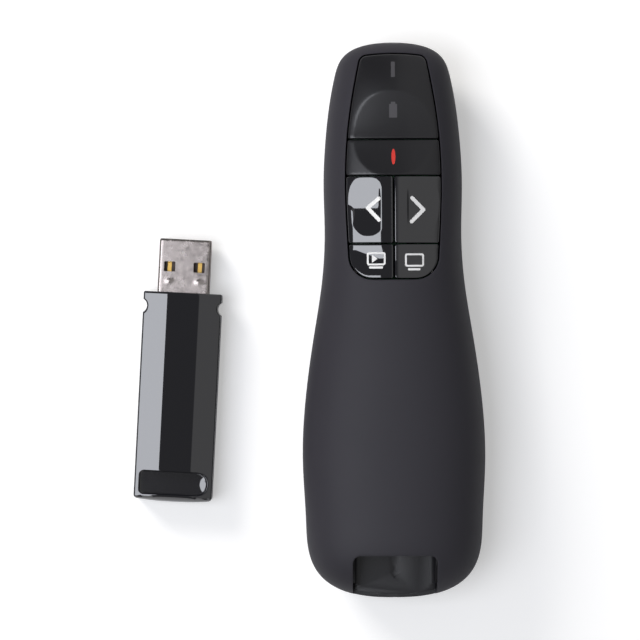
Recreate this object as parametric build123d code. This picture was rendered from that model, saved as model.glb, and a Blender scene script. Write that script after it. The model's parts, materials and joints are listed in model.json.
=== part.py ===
from build123d import *
import os
from math import copysign

# Handheld presentation clicker with its USB receiver, in millimetres.
# Origin: middle of the flat sole, under mid-length. +Y runs to the nose (laser end), +X to the
# right seen from above, +Z up. The case is two moulded shells that meet on a flat joint plane.
# The loose receiver lies on the same surface, to the left of the case.

# ---------------------------------------------------------------- case form
JOINT_Z = 12.0  # plane where the two shells meet
WALL = 1.8
CROWN_FULL = 0.664  # handle of each quarter curve: 0.55 is an ellipse, 1 is a box
SOLE_FULL = 0.709
CHORDS = 8  # short chords along each quarter of an outer section
INNER_CHORDS = 5  # and of an inner one
# distance from mid-length, half width, height above the joint, depth below it
CASE_BODY = [
    (-45.5, 20.25, 12.6, 13.4),
    (-32.0, 20.9, 12.8, 13.4),
    (-18.0, 20.2, 12.7, 13.4),
    (-4.0, 18.3, 12.3, 13.4),
    (9.0, 16.3, 11.7, 13.4),
    (20.0, 15.65, 11.1, 13.3),
    (31.0, 15.85, 10.4, 12.8),
    (42.0, 15.3, 9.6, 11.7),
    (52.0, 14.0, 8.7, 10.4),
]
CASE_END = 63.5
END_REACH = 63.7  # where the end curves would close, just past the blunt tips
TAIL_STEPS = (50.0, 54.5, 58.5, 61.0, 62.6, CASE_END)
TAIL_TAPER = (0.03, 0.0, 0.0)  # loss of each base size for every millimetre
TAIL_POWERS = ((3.4, 2.5), (2.6, 2.3))  # plan curve, side curve
NOSE_STEPS = (57.0, 60.0, 62.0, 63.0, CASE_END)
NOSE_TAPER = (0.2, 0.12, 0.16)
NOSE_POWERS = ((5.0, 2.3), (3.0, 2.3))

# ---------------------------------------------------------------- keypad island
GAP = 0.28  # running gap round every key
ISLAND_TOP = 60.5
ISLAND_BOTTOM = 9.45
ISLAND_SIDE = [(7.3, 60.0), (9.2, 50.0), (10.35, 40.5), (10.7, 30.0), (10.25, 18.0), (9.8, 9.45)]
ISLAND_TOP_CORNER = 1.8
ISLAND_BOTTOM_CORNER = 5.2
ROW_SPLITS = (41.0, 32.7, 17.3)  # panel / laser key / page keys / small keys
FLANGE = 0.6  # lip of each key under the shell
FLANGE_TOP = 1.92  # depth of the lip's upper face below the crown
KEY_DEPTH = 2.7
PANEL_FLOOR = 16.4  # lowest level of the fixed panel
SCOOP_Y = 42.5  # oval thumb scoop across panel and laser key
SCOOP_DEPTH = 0.9
SCOOP_ALONG = 55.6  # its radius along the case
SCOOP_ACROSS = 78.0  # its radius across, flatter than the crown
DISH_X = 6.15  # rounded finger dish in each page key, hollow along the case
DISH_Y = 25.6
DISH_SIZE = (6.5, 13.4)
DISH_CORNER = 3.0
DISH_DEPTH = 0.5
MARK_LENGTH = 3.6  # light guides and the laser key's inlay
MARK_WIDTH = 0.9
FRONT_GUIDE_Y = 56.9
REAR_GUIDE_Y = 47.7
REAR_GUIDE = (1.8, 3.1, 1.0)  # cell outline: body width, body length, nub width
LASER_MARK_Y = 37.0
MARK_DEPTH = 0.6

# ---------------------------------------------------------------- electronics
BOARD_Z = 14.6
BOARD_THICK = 1.2
BOARD_TOP = BOARD_Z + BOARD_THICK
BOARD_REAR = 2.0
BOARD_FRONT = 58.2
BOARD_SHOULDER = 44.0  # where the board starts to narrow
BOARD_HALF = 10.2
BOARD_NOSE_HALF = 7.0
SWITCH_SIDE = 6.0
SWITCH_CORNER = 0.6
SWITCH_HIGH = 1.8
LED_SIZE = (1.6, 1.0, 0.5)
PLUNGER_RADIUS = 1.7
PLUNGER_TOP = 18.2
PLUNGER_SEAT = 16.8
PLUNGER_CLEAR = 0.08
KEY_CENTRES = {
    "laser": (0.0, 37.0),
    "back": (-5.3, 25.2),
    "next": (5.3, 25.2),
    "slideshow": (-4.7, 13.5),
    "blank": (4.7, 13.5),
}
RIB_PLACES = (5.0, 41.0)
RIB_THICK = 1.2
RIB_HALF = 8.5  # half width of the ribs' tops, under the board
FRAME_RESTS = (-50.0, -30.0, -8.0)  # shell ribs under the frame's web
SADDLE_PLACES = (50.5, 57.5)
SADDLE_HALF = 4.5
LASER_Z = 11.4
BARREL_RADIUS = 3.0
BARREL_BORE = 1.6
BARREL_REAR = 48.0
BARREL_FRONT = 60.6
BEZEL_RADIUS = 2.8
BEZEL_BORE = 1.8

# ---------------------------------------------------------------- batteries, frame, door
CELL_RADIUS = 5.25
CELL_LENGTH = 43.5
NUB_RADIUS = 1.9
NUB_LENGTH = 1.0
CELL_X = 5.5
CELL_Z = 7.13
BOX_HALF = 11.0  # inside of the battery box
BOX_WALL = 0.9
BOX_REAR = -55.3
BOX_FRONT = -4.2
BOX_FLOOR = 2.6
CONTACT_THICK = 0.4
CONTACT_Z = (3.4, 11.0)
CONTACT_REACH = (1.2, 9.5)  # inner and outer edge of a contact plate
LEAF_THICK = 0.3
LEAF_WIDTH = 5.0
WEB_UNDER = 12.4
WEB_TOP = 13.5
WEB_HALF = 14.2
FRAME_REAR = -62.4
FRAME_FRONT = 0.4
BAY_HALF = 9.25
BAY_CORNER = 1.6
SILL_Z = 12.05  # underside of the frame's lip in the tail cut-out
RAIL_THICK = 1.2
RAIL_TOP = 19.5
CUTOUT_FRONT = -53.3
CUTOUT_HALF = 9.6
CUTOUT_CORNER = 1.8
RELIEF_REACH = 4.0  # how far the wall behind the cut-out is pared for the receiver's shoulders
RELIEF_TOP = 21.5
DETENT_Y = -17.0
DETENT_RADIUS = 1.5
DETENT_PROUD = 0.5
ARROW_Y = (-58.9, -56.2)  # tip and tail of the debossed arrow
ARROW_DEPTH = 0.35
DOOR_HALF = 12.4
DOOR_REAR_WALL = -56.6  # where the door turns up into the tail
DOOR_TAIL = [(-58.4, 3.6), (-59.9, 7.0), (-60.2, 11.0)]  # inside of its tail wall: y, z
DOOR_FRONT = -2.15
DOOR_TOP = 10.2
DOOR_GAP = 0.15
LATCH_FRONT = -0.6
LATCH_HALF = 2.2
TONGUE = 0.8
TONGUE_REAR = -54.0
TONGUE_Z = (1.6, 2.4)
GRIP_ROWS = 5
GRIP_PITCH = 1.8
GRIP_FRONT = -12.0
GRIP_DEPTH = 0.5

# ---------------------------------------------------------------- screws and tabs
SCREWS = [(13.1, 34.0)]  # one pair, either side of the keypad
SCREW_HEAD_Z = 6.0
SCREW_HEAD_HIGH = 1.2
SCREW_TIP_Z = 15.6
SHANK_RADIUS = 0.8
HEAD_RADIUS = 1.5
BOSS_RADIUS = 1.6
POST_RADIUS = 2.2
COUNTERBORE = 1.7
TAB_PLACES = (-44.0, -20.0)  # tabs of the lower shell that line up the upper one
TAB_X = (17.0, 18.0)
TAB_HALF = 3.0
TAB_Z = (8.0, 11.0, 13.4)  # foot, top of the foot, tip

# ---------------------------------------------------------------- power switch
POWER_Y = 13.0
POWER_TRAVEL = 2.0
KNOB_SIZE = (2.8, 3.6)
KNOB_Z = (0.25, 1.7)
KNOB_GAP = 0.2
POWER_BODY_Z = (2.1, 5.3)

# ---------------------------------------------------------------- USB receiver
RECEIVER_PLACE = (-49.7, -17.6)  # middle of its housing on the table
RECEIVER_TURN = -3.2  # degrees about +Z
HOUSING_HALF = 9.05
HOUSING_LENGTH = 48.4
HOUSING_HIGH = 7.8
EAVES_Z = 7.5  # where the crowned roof meets the sides
ROOF_EDGE = 0.8
KEEL_EDGE = 1.5  # rounding of the long lower edges
RECEIVER_JOINT = 3.9
TAIL_SAG = 0.6
TAIL_FACE = 4.5  # height of the upright tail face below its rounding
TAIL_CORNER = 1.0
NOTCH_BACK = 3.4  # notch centre behind the front edge
NOTCH_RADIUS = 1.7
NOTCH_DEPTH = 0.9
GRIP_PLACE = 4.4  # thumb recess centre ahead of the tail edge
GRIP_SIZE = (15.6, 5.4, 1.3)
GRIP_CORNER = 1.0
GRIP_FLOOR_EDGE = 0.6
CAVITY = (15.4, 43.0, 1.3, 6.0)  # width, length, floor, roof
PLUG_WIDTH = 12.0
PLUG_HIGH = 4.5
PLUG_OUT = 12.3
PLUG_IN = 6.0
PLUG_SHEET = 0.3
PLUG_CORNER = 0.6
WINDOW = (2.6, 2.3)
WINDOW_X = 3.4
WINDOW_BACK = 6.4  # behind the plug's tip
TONGUE_HALF = 5.4
TONGUE_HIGH = 1.85
PADS = ((-3.5, 1.2), (-1.0, 2.2), (1.0, 2.2), (3.5, 1.2))  # place, set back from the tip


def block(x0, x1, y0, y1, z0, z1):
    """A box from its six faces."""
    size = Box(x1 - x0, y1 - y0, z1 - z0)
    return Pos((x0 + x1) / 2, (y0 + y1) / 2, (z0 + z1) / 2) * size


def upright(radius, x, y, z0, z1):
    """A cylinder along Z between two heights."""
    return Pos(x, y, (z0 + z1) / 2) * Cylinder(radius, z1 - z0)


def lengthwise(radius, x, z, y0, y1):
    """A cylinder along Y between two stations."""
    return Pos(x, (y0 + y1) / 2, z) * Rot(90, 0, 0) * Cylinder(radius, y1 - y0)


def prism(face, z0, z1):
    """A plan outline drawn at z = 0, extruded between two heights."""
    return Pos(0, 0, z0) * extrude(face, z1 - z0)


def mirrored(shape):
    """The shape and its image on the other side of the middle plane."""
    return shape + mirror(shape, Plane.YZ)


# ---------------------------------------------------------------- case
def end_stations(base, steps, taper, powers):
    """Sections that close one end of the case: tapered base sizes under rounding curves."""
    start = abs(base[0])
    side = copysign(1, base[0])
    made = []
    for step in steps:
        share = (step - start) / (END_REACH - start)
        plan, profile = [(1 - share**outer) ** (1 / inner) for outer, inner in powers]
        sizes = [size - loss * (step - start) for size, loss in zip(base[1:], taper)]
        made.append((side * step, sizes[0] * plan, sizes[1] * profile, sizes[2] * profile))
    return made


TAIL = end_stations(CASE_BODY[0], TAIL_STEPS, TAIL_TAPER, TAIL_POWERS)
NOSE = end_stations(CASE_BODY[-1], NOSE_STEPS, NOSE_TAPER, NOSE_POWERS)
CASE_STATIONS = TAIL[::-1] + CASE_BODY + NOSE


def section(half_width, height, y, side, chords):
    """Half a cross-section above (side 1) or below (side -1) the joint, drawn in chords."""
    full = CROWN_FULL if side > 0 else SOLE_FULL
    knee = JOINT_Z + side * full * height
    crest = JOINT_Z + side * height
    foot = (half_width, y, JOINT_Z)
    curve = Bezier(foot, (half_width, y, knee), (full * half_width, y, crest), (0, y, crest))
    right = [curve @ (step / chords) for step in range(chords + 1)]
    left = [Vector(-point.X, point.Y, point.Z) for point in right[-2::-1]]
    return Polyline(*right, *left, close=True).wire()


def half_form(inset, side):
    """Upper (side 1) or lower (side -1) half of the case; an inner one is ruled between stations."""
    chords = CHORDS if inset == 0 else INNER_CHORDS
    rings = []
    for place, half_width, rise, depth in CASE_STATIONS:
        height = (rise if side > 0 else depth) - inset
        if height > 1:
            y = place * (CASE_END - inset) / CASE_END
            rings.append(section(half_width - inset, height, y, side, chords))
    return Solid.make_loft(rings, ruled=inset > 0)


def flat_bottomed(form, floor):
    """A lower form cut off level at the floor height."""
    return (form & block(-60, 60, -90, 90, floor, JOINT_Z + 1)).solid()


TOP_OUTER = half_form(0, 1)
TOP_MID = half_form(WALL / 2, 1)
TOP_INNER = half_form(WALL, 1)
LIP_FORM = half_form(FLANGE_TOP, 1)
KEY_CORE = half_form(KEY_DEPTH, 1)
BOTTOM_OUTER = flat_bottomed(half_form(0, -1), 0)
BOTTOM_MID = flat_bottomed(half_form(WALL / 2, -1), WALL / 2)
BOTTOM_INNER = flat_bottomed(half_form(WALL, -1), WALL)
FRAME_SPACE = LIP_FORM + flat_bottomed(half_form(WALL + 0.3, -1), BOX_FLOOR)


def crown_height(x, y):
    """Height of the outer crown over a plan point."""
    hits = TOP_OUTER.find_intersection_points(Axis((x, y, 0), (0, 0, 1)))
    return max(point.Z for point, _ in hits)


def crown_normal(x, y, reach=2.0):
    """Outward normal of the crown over a plan point."""
    slope_x = (crown_height(x + reach, y) - crown_height(x - reach, y)) / (2 * reach)
    slope_y = (crown_height(x, y + reach) - crown_height(x, y - reach)) / (2 * reach)
    return Vector(-slope_x, -slope_y, 1).normalized()


def island(grow=0.0):
    """Plan outline of the keypad, grown outwards by grow."""
    right = [(x + grow, y) for x, y in ISLAND_SIDE]
    right[0] = (right[0][0], right[0][1] + grow)
    right[-1] = (right[-1][0], ISLAND_BOTTOM - grow)
    left = [(-x, y) for x, y in reversed(right)]
    outline = [
        Spline(right),
        Line(right[-1], left[0]),
        Spline(left),
        ThreePointArc(left[-1], (0, ISLAND_TOP + grow), right[0]),
    ]
    face = make_face(outline)
    corners = face.vertices().sort_by(Axis.Y)
    face = fillet(corners[:2], ISLAND_BOTTOM_CORNER + grow)
    top = face.vertices().sort_by(Axis.Y)[-2:]
    return fillet(top, ISLAND_TOP_CORNER + grow)


ISLAND = island()
ISLAND_LIP = island(FLANGE)


def scoop():
    """Oval thumb scoop across the panel and the laser key, cut by a wide ring."""
    normal = crown_normal(0, SCOOP_Y)
    centre = Vector(0, SCOOP_Y, crown_height(0, SCOOP_Y)) - normal * (SCOOP_DEPTH + SCOOP_ACROSS)
    along = Vector(1, 0, 0).cross(normal)
    ring = Torus(SCOOP_ACROSS + SCOOP_ALONG, SCOOP_ALONG)
    return Plane(origin=centre, x_dir=(1, 0, 0), z_dir=along) * ring


def dish(side):
    """Finger dish in a page key: a rounded outline sunk by a wide roller that lies on the crown."""
    x = side * DISH_X
    half_length = DISH_SIZE[1] / 2
    radius = (half_length**2 + DISH_DEPTH**2) / (2 * DISH_DEPTH)
    normal = crown_normal(x, DISH_Y)
    middle = Vector(x, DISH_Y, crown_height(x, DISH_Y)) + normal * (radius - DISH_DEPTH)
    along = Vector(0, 1, 0) - normal * normal.Y
    roller = Plane(origin=middle, x_dir=along, z_dir=along.cross(normal)) * Cylinder(radius, 30)
    outline = RectangleRounded(*DISH_SIZE, DISH_CORNER)
    return roller & prism(Pos(x, DISH_Y) * outline, JOINT_Z, 40)


def key(x0, x1, y0, y1, floor=JOINT_Z):
    """One key cap: its plan cell of the island, following the crown, with a lip under the shell."""
    cell = block(x0, x1, y0, y1, floor, 40)
    cap = TOP_OUTER & prism(ISLAND, JOINT_Z, 40) & cell
    lip = LIP_FORM & prism(ISLAND_LIP, JOINT_Z, 40) & cell
    return cap + lip - KEY_CORE


def stem(name):
    """The post under a key that stands on its switch plunger."""
    x, y = KEY_CENTRES[name]
    return upright(PLUNGER_RADIUS, x, y, PLUNGER_TOP, 30) & LIP_FORM


def keys():
    """Every moving key cap and the fixed panel, by node name."""
    half = GAP / 2
    wide = 30
    top, mid, low = ROW_SPLITS
    made = {"indicator_panel": key(-wide, wide, top + half, 70, PANEL_FLOOR) - scoop()}
    laser = key(-wide, wide, mid + half, top - half) + stem("laser")
    made["laser_button"] = laser - scoop()
    for name, side, x0, x1 in (("back", -1, -wide, -half), ("next", 1, half, wide)):
        page = key(x0, x1, low + half, mid - half) + stem(name)
        made[name + "_button"] = page - dish(side)
    for name, x0, x1 in (("slideshow", -wide, -half), ("blank", half, wide)):
        made[name + "_button"] = key(x0, x1, 0, low - half) + stem(name)
    return made


def cell_outline():
    """Plan of the rear light guide: a small battery cell with its nub forward."""
    width, length, nub = REAR_GUIDE
    spare = MARK_LENGTH - length
    body = Pos(0, -spare / 2) * Rectangle(width, length)
    return body + Pos(0, length / 2) * Rectangle(nub, spare)


def pointed_oval():
    """Plan of the laser key's inlay: two arcs that meet in points."""
    half, reach = MARK_WIDTH / 2, MARK_LENGTH / 2
    right = ThreePointArc((0, -reach), (half, 0), (0, reach))
    return make_face([right, mirror(right, Plane.YZ)])


def marks():
    """Outlines of the two light guides and the laser key's inlay: place and plan, by node."""
    return {
        "front_light_guide": (FRONT_GUIDE_Y, RectangleRounded(MARK_WIDTH, MARK_LENGTH, 0.2)),
        "rear_light_guide": (REAR_GUIDE_Y, cell_outline()),
        "laser_mark": (LASER_MARK_Y, pointed_oval()),
    }


def keypad():
    """The keypad pieces with the light guides and the inlay let into them."""
    made = keys()
    carriers = {"laser_mark": "laser_button"}
    for name, (y, outline) in marks().items():
        inlaid = name in carriers
        surface = crown_height(0, y) - SCOOP_DEPTH
        floor = surface - MARK_DEPTH if inlaid else BOARD_TOP + LED_SIZE[2] + GAP
        bar = prism(Pos(0, y) * outline, floor, 40)
        carrier = carriers.get(name, "indicator_panel")
        made[carrier] -= bar
        made[name] = (bar & TOP_OUTER) - scoop()
    return made


def nose_bore():
    """The round hole through the nose that holds the laser bezel."""
    return lengthwise(BEZEL_RADIUS, 0, LASER_Z, BARREL_FRONT - 2, CASE_END + 1)


def top_shell():
    """Upper shell: crown wall, keypad opening, receiver cut-out, screw bosses."""
    shell = TOP_OUTER - TOP_INNER
    shell -= prism(island(GAP), JOINT_Z + 2, 60)
    for x, y in SCREWS:
        boss = upright(BOSS_RADIUS, x, y, JOINT_Z, 40) & TOP_MID
        shell += mirrored(boss)
        shell -= mirrored(upright(SHANK_RADIUS + 0.05, x, y, 0, SCREW_TIP_Z + 0.4))
    mouth = RectangleRounded(2 * CUTOUT_HALF, 40, CUTOUT_CORNER)
    shell -= Pos(0, CUTOUT_FRONT - 20, 0) * prism(mouth, JOINT_Z - 1, 60)
    front = CUTOUT_FRONT + RELIEF_REACH
    shell -= block(-BAY_HALF, BAY_HALF, CUTOUT_FRONT - CUTOUT_CORNER, front, WEB_TOP, RELIEF_TOP)
    return shell - nose_bore()


def door_opening():
    """The space in the lower shell that the sliding door fills, with its side grooves."""
    half = DOOR_HALF + DOOR_GAP
    front = DOOR_FRONT + DOOR_GAP
    low, high = TONGUE_Z
    opening = block(-half, half, -90, front, -1, DOOR_TOP + DOOR_GAP)
    groove = half + TONGUE
    return opening + block(-groove, groove, -90, front, low - DOOR_GAP, high + DOOR_GAP)


def shell_ribs():
    """Ribs of the lower shell under the board, the laser barrel and the inner frame."""
    thick = RIB_THICK / 2
    ribs = []
    for y in RIB_PLACES:
        ribs.append(block(-12, 12, y - thick, y + thick, 0, JOINT_Z) & BOTTOM_MID)
        ribs.append(block(-RIB_HALF, RIB_HALF, y - thick, y + thick, JOINT_Z - 1, BOARD_Z))
    for y in SADDLE_PLACES:
        saddle = block(-SADDLE_HALF, SADDLE_HALF, y - thick, y + thick, 0, LASER_Z) & BOTTOM_MID
        ribs.append(saddle - lengthwise(BARREL_RADIUS + 0.02, 0, LASER_Z, y - 2, y + 2))
    inner = DOOR_HALF + DOOR_GAP
    for y in FRAME_RESTS:
        rest = block(inner, 21, y - thick, y + thick, TONGUE_Z[1] + DOOR_GAP, JOINT_Z) & BOTTOM_MID
        rest += block(inner, WEB_HALF, y - thick, y + thick, JOINT_Z - 1, WEB_UNDER)
        ribs.append(mirrored(rest))
    for y in (POWER_Y - 5.5, POWER_Y + 7.5):
        ribs.append(block(-5, 5, y - 0.5, y + 0.5, 1, POWER_BODY_Z[1]))
    return ribs


def shell_tabs():
    """Tabs inside the lower shell's walls that stand up into the upper shell."""
    inner, outer = TAB_X
    foot, shelf, tip = TAB_Z
    tabs = []
    for y in TAB_PLACES:
        low = block(inner, 21, y - TAB_HALF, y + TAB_HALF, foot, shelf) & BOTTOM_MID
        tabs.append(mirrored(low + block(inner, outer, y - TAB_HALF, y + TAB_HALF, foot, tip)))
    return tabs


def knob_slot():
    """Slot in the sole for the power knob and its travel."""
    half_x = KNOB_SIZE[0] / 2 + KNOB_GAP
    half_y = KNOB_SIZE[1] / 2 + KNOB_GAP
    return block(-half_x, half_x, POWER_Y - half_y, POWER_Y + POWER_TRAVEL + half_y, -1, 3)


def bottom_shell():
    """Lower shell: floor and walls, door opening, ribs, tabs, screw posts and knob slot."""
    shell = BOTTOM_OUTER - BOTTOM_INNER - door_opening()
    for piece in shell_ribs() + shell_tabs():
        shell += piece
    for x, y in SCREWS:
        shell += mirrored(upright(POST_RADIUS, x, y, 0, JOINT_Z) & BOTTOM_MID)
        shell -= mirrored(upright(COUNTERBORE, x, y, -1, SCREW_HEAD_Z))
        shell -= mirrored(upright(SHANK_RADIUS + 0.15, x, y, -1, JOINT_Z + 1))
    return shell - knob_slot() - nose_bore()


def battery_door():
    """Sliding battery door: sole plate and tail wall, side tongues, latch and thumb grooves."""
    low, high = TONGUE_Z
    inner = DOOR_HALF - 1
    door = BOTTOM_OUTER & block(-DOOR_HALF, DOOR_HALF, -90, DOOR_FRONT, -1, DOOR_TOP)
    door -= block(-DOOR_HALF - 1, DOOR_HALF + 1, DOOR_REAR_WALL, 0, high, DOOR_TOP + 1)
    side_view = [(0, WALL), (DOOR_REAR_WALL, WALL), *DOOR_TAIL, (0, DOOR_TAIL[-1][1])]
    door -= extrude(Plane.YZ * make_face(Polyline(*side_view, close=True)), inner, both=True)
    tongue = block(inner, DOOR_HALF + TONGUE, TONGUE_REAR, DOOR_FRONT - 2, low, high)
    door += mirrored(tongue)
    latch = block(-LATCH_HALF, LATCH_HALF, DOOR_FRONT - 2, DOOR_FRONT, WALL / 2, high)
    latch += block(-LATCH_HALF, LATCH_HALF, DOOR_FRONT - 2, LATCH_FRONT, WALL + DOOR_GAP, high)
    door += latch
    for row in range(GRIP_ROWS):
        y = GRIP_FRONT - GRIP_PITCH * row
        half = 5 - 0.5 * row
        door -= block(-half, half, y - GRIP_PITCH / 4, y + GRIP_PITCH / 4, -1, GRIP_DEPTH)
    return door


def arrow():
    """Plan of the small arrow that shows which way the receiver pulls out."""
    tip, tail = ARROW_Y
    neck = tip + 1.3
    head = make_face(Polyline((0, tip), (1.3, neck), (-1.3, neck), close=True))
    return head + Pos(0, (neck + tail) / 2) * Rectangle(0.8, tail - neck)


def inner_frame():
    """Chassis between the shells: battery box below the web, receiver channel above it."""
    wall = BOX_HALF + BOX_WALL
    rail = BAY_HALF + RAIL_THICK
    frame = block(-WEB_HALF, WEB_HALF, FRAME_REAR, FRAME_FRONT, WEB_UNDER, WEB_TOP)
    channel = block(-rail, rail, FRAME_REAR, FRAME_FRONT, WEB_TOP - 0.5, RAIL_TOP)
    hollow = block(-BAY_HALF, BAY_HALF, -90, FRAME_FRONT - RAIL_THICK, WEB_TOP, 40)
    hollow = fillet(hollow.edges().filter_by(Axis.Y).sort_by(Axis.Z)[:2], BAY_CORNER)
    frame += channel - hollow
    frame += mirrored(block(BOX_HALF, wall, BOX_REAR, BOX_FRONT, BOX_FLOOR, WEB_UNDER))
    for y in (BOX_REAR - BOX_WALL, BOX_FRONT):
        frame += block(-wall, wall, y, y + BOX_WALL, BOX_FLOOR, WEB_UNDER)
    centre = BAY_HALF + DETENT_RADIUS - DETENT_PROUD
    bump = upright(DETENT_RADIUS, centre, DETENT_Y, WEB_TOP, RAIL_TOP - 1)
    frame += mirrored(bump & block(0, rail, -40, 0, WEB_TOP, RAIL_TOP))
    frame &= FRAME_SPACE
    sill = CUTOUT_HALF - 0.3
    frame += block(-sill, sill, -70, FRAME_REAR + 4, SILL_Z, WEB_TOP) & TOP_MID
    return frame - prism(arrow(), WEB_TOP - ARROW_DEPTH, WEB_TOP + 1)


# ---------------------------------------------------------------- electronics
def main_board():
    """Circuit board under the keypad, narrower towards the nose."""
    right = [(BOARD_HALF, BOARD_REAR), (BOARD_HALF, BOARD_SHOULDER), (BOARD_NOSE_HALF, BOARD_FRONT)]
    left = [(-x, y) for x, y in reversed(right)]
    return prism(make_face(Polyline(*right, *left, close=True)), BOARD_Z, BOARD_TOP)


def key_switches():
    """Five square tact switches, each with a round hole for its plunger."""
    made = []
    half = SWITCH_SIDE / 2
    for x, y in KEY_CENTRES.values():
        body = block(x - half, x + half, y - half, y + half, BOARD_TOP, BOARD_TOP + SWITCH_HIGH)
        body = chamfer(body.edges().filter_by(Axis.Z), SWITCH_CORNER)
        made.append(body - upright(PLUNGER_RADIUS + PLUNGER_CLEAR, x, y, PLUNGER_SEAT - 0.5, 30))
    return made


def plunger(name):
    """The moving button of one tact switch."""
    x, y = KEY_CENTRES[name]
    return upright(PLUNGER_RADIUS, x, y, PLUNGER_SEAT, PLUNGER_TOP)


def board_parts():
    """Radio chip, crystal and the two LEDs on the board, by node name."""
    wide, deep, high = LED_SIZE
    leds = [
        block(-wide / 2, wide / 2, y - deep / 2, y + deep / 2, BOARD_TOP, BOARD_TOP + high)
        for y in (FRONT_GUIDE_Y - 0.2, REAR_GUIDE_Y)
    ]
    return {
        "radio_chip": block(-2.5, 2.5, 3.2, 8.2, BOARD_TOP, BOARD_TOP + 0.9),
        "radio_crystal": block(4.6, 7.8, 3.6, 6.1, BOARD_TOP, BOARD_TOP + 0.8),
        "status_leds": leds,
    }


def laser_parts():
    """Laser barrel, its lens, and the bezel and window in the nose, by node name."""
    barrel = lengthwise(BARREL_RADIUS, 0, LASER_Z, BARREL_REAR, BARREL_FRONT - 0.1)
    barrel -= lengthwise(BARREL_BORE, 0, LASER_Z, BARREL_FRONT - 4, BARREL_FRONT + 1)
    bezel = lengthwise(BEZEL_RADIUS, 0, LASER_Z, BARREL_FRONT, CASE_END)
    bezel = chamfer(bezel.edges().sort_by(Axis.Y)[-1], 0.4)
    return {
        "laser_barrel": barrel,
        "laser_lens": lengthwise(BARREL_BORE, 0, LASER_Z, BARREL_FRONT - 2.2, BARREL_FRONT - 1.2),
        "laser_bezel": bezel - lengthwise(BEZEL_BORE, 0, LASER_Z, BARREL_FRONT - 1, CASE_END + 1),
        "laser_window": lengthwise(BEZEL_BORE, 0, LASER_Z, CASE_END - 1.6, CASE_END - 0.7),
    }


def power_parts():
    """Slide switch: fixed body on its small board, and the knob that shows in the sole."""
    low, high = POWER_BODY_Z
    mid = POWER_Y + POWER_TRAVEL / 2
    body = block(-1.9, 1.9, mid - 4.3, mid + 4.3, low, high)
    body -= block(-0.9, 0.9, mid - 2.1, mid + 2.1, low - 1, low + 1.6)
    knob_x, knob_y = KNOB_SIZE
    knob = block(-knob_x / 2, knob_x / 2, POWER_Y - knob_y / 2, POWER_Y + knob_y / 2, *KNOB_Z)
    for offset in (-1.0, 0.0, 1.0):
        y = POWER_Y + offset
        knob -= block(-2, 2, y - 0.2, y + 0.2, 0, KNOB_Z[0] + 0.3)
    knob += block(-0.7, 0.7, POWER_Y - 0.7, POWER_Y + 0.7, KNOB_Z[1], low + 1.3)
    board = block(-5, 5, POWER_Y - 6, POWER_Y + 8, high, high + 1)
    return {"power_switch_body": body, "power_knob": knob, "power_board": board}


def cell_span(side):
    """Where the cylinder of one AAA cell starts and ends; the springs push the cells apart."""
    middle = (BOX_REAR + BOX_FRONT) / 2 + side
    return middle - CELL_LENGTH / 2, middle + CELL_LENGTH / 2


def battery(side):
    """One AAA cell; the two cells point opposite ways."""
    x = side * CELL_X
    rear, front = cell_span(side)
    cell = lengthwise(CELL_RADIUS, x, CELL_Z, rear, front)
    root = front if side > 0 else rear
    nub = sorted((root, root + side * NUB_LENGTH))
    return cell + lengthwise(NUB_RADIUS, x, CELL_Z, *nub)


def battery_contacts():
    """Rear bridge plate and two front plates of nickelled steel."""
    inner, outer = CONTACT_REACH
    made = [block(-outer, outer, BOX_REAR, BOX_REAR + CONTACT_THICK, *CONTACT_Z)]
    for side in (-1, 1):
        x0, x1 = sorted((side * inner, side * outer))
        made.append(block(x0, x1, BOX_FRONT - CONTACT_THICK, BOX_FRONT, *CONTACT_Z))
    return made


def battery_springs():
    """Two bowed leaf springs that press on the cells' flat ends."""
    made = []
    for side in (-1, 1):
        rear, front = cell_span(side)
        flat = rear if side > 0 else front
        plate = BOX_REAR + CONTACT_THICK if side > 0 else BOX_FRONT - CONTACT_THICK
        peak = flat - side * LEAF_THICK
        low, high = CONTACT_Z[0] + 0.6, CONTACT_Z[1] - 0.6
        bow = [(plate, low), (peak, CELL_Z - 0.8), (peak, CELL_Z + 0.8), (plate, high)]
        back = [(y + side * LEAF_THICK, z) for y, z in reversed(bow)]
        leaf = Plane.YZ * make_face(Polyline(*bow, *back, close=True))
        x = side * CELL_X
        made.append(Pos(x, 0, 0) * extrude(leaf, LEAF_WIDTH / 2, both=True))
    return made


def case_screws():
    """Two self-tapping screws with pan heads."""
    made = []
    for x, y in SCREWS:
        for side in (-1, 1):
            shank = upright(SHANK_RADIUS, side * x, y, SCREW_HEAD_Z, SCREW_TIP_Z)
            head = upright(HEAD_RADIUS, side * x, y, SCREW_HEAD_Z - SCREW_HEAD_HIGH, SCREW_HEAD_Z)
            made.append(head + shank)
    return made


# ---------------------------------------------------------------- USB receiver
def housing_plan():
    """Plan outline of the receiver housing: straight front, slightly bowed tail, two notches."""
    half = HOUSING_HALF
    front = HOUSING_LENGTH / 2
    shoulder = TAIL_SAG - front
    outline = [
        Line((-half, front), (half, front)),
        Line((half, front), (half, shoulder)),
        ThreePointArc((half, shoulder), (0, -front), (-half, shoulder)),
        Line((-half, shoulder), (-half, front)),
    ]
    face = make_face(outline)
    face = fillet(face.vertices().sort_by(Axis.Y)[:2], TAIL_CORNER)
    centre = half + NOTCH_RADIUS - NOTCH_DEPTH
    for side in (-1, 1):
        face -= Pos(side * centre, front - NOTCH_BACK) * Circle(NOTCH_RADIUS)
    return face


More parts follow.
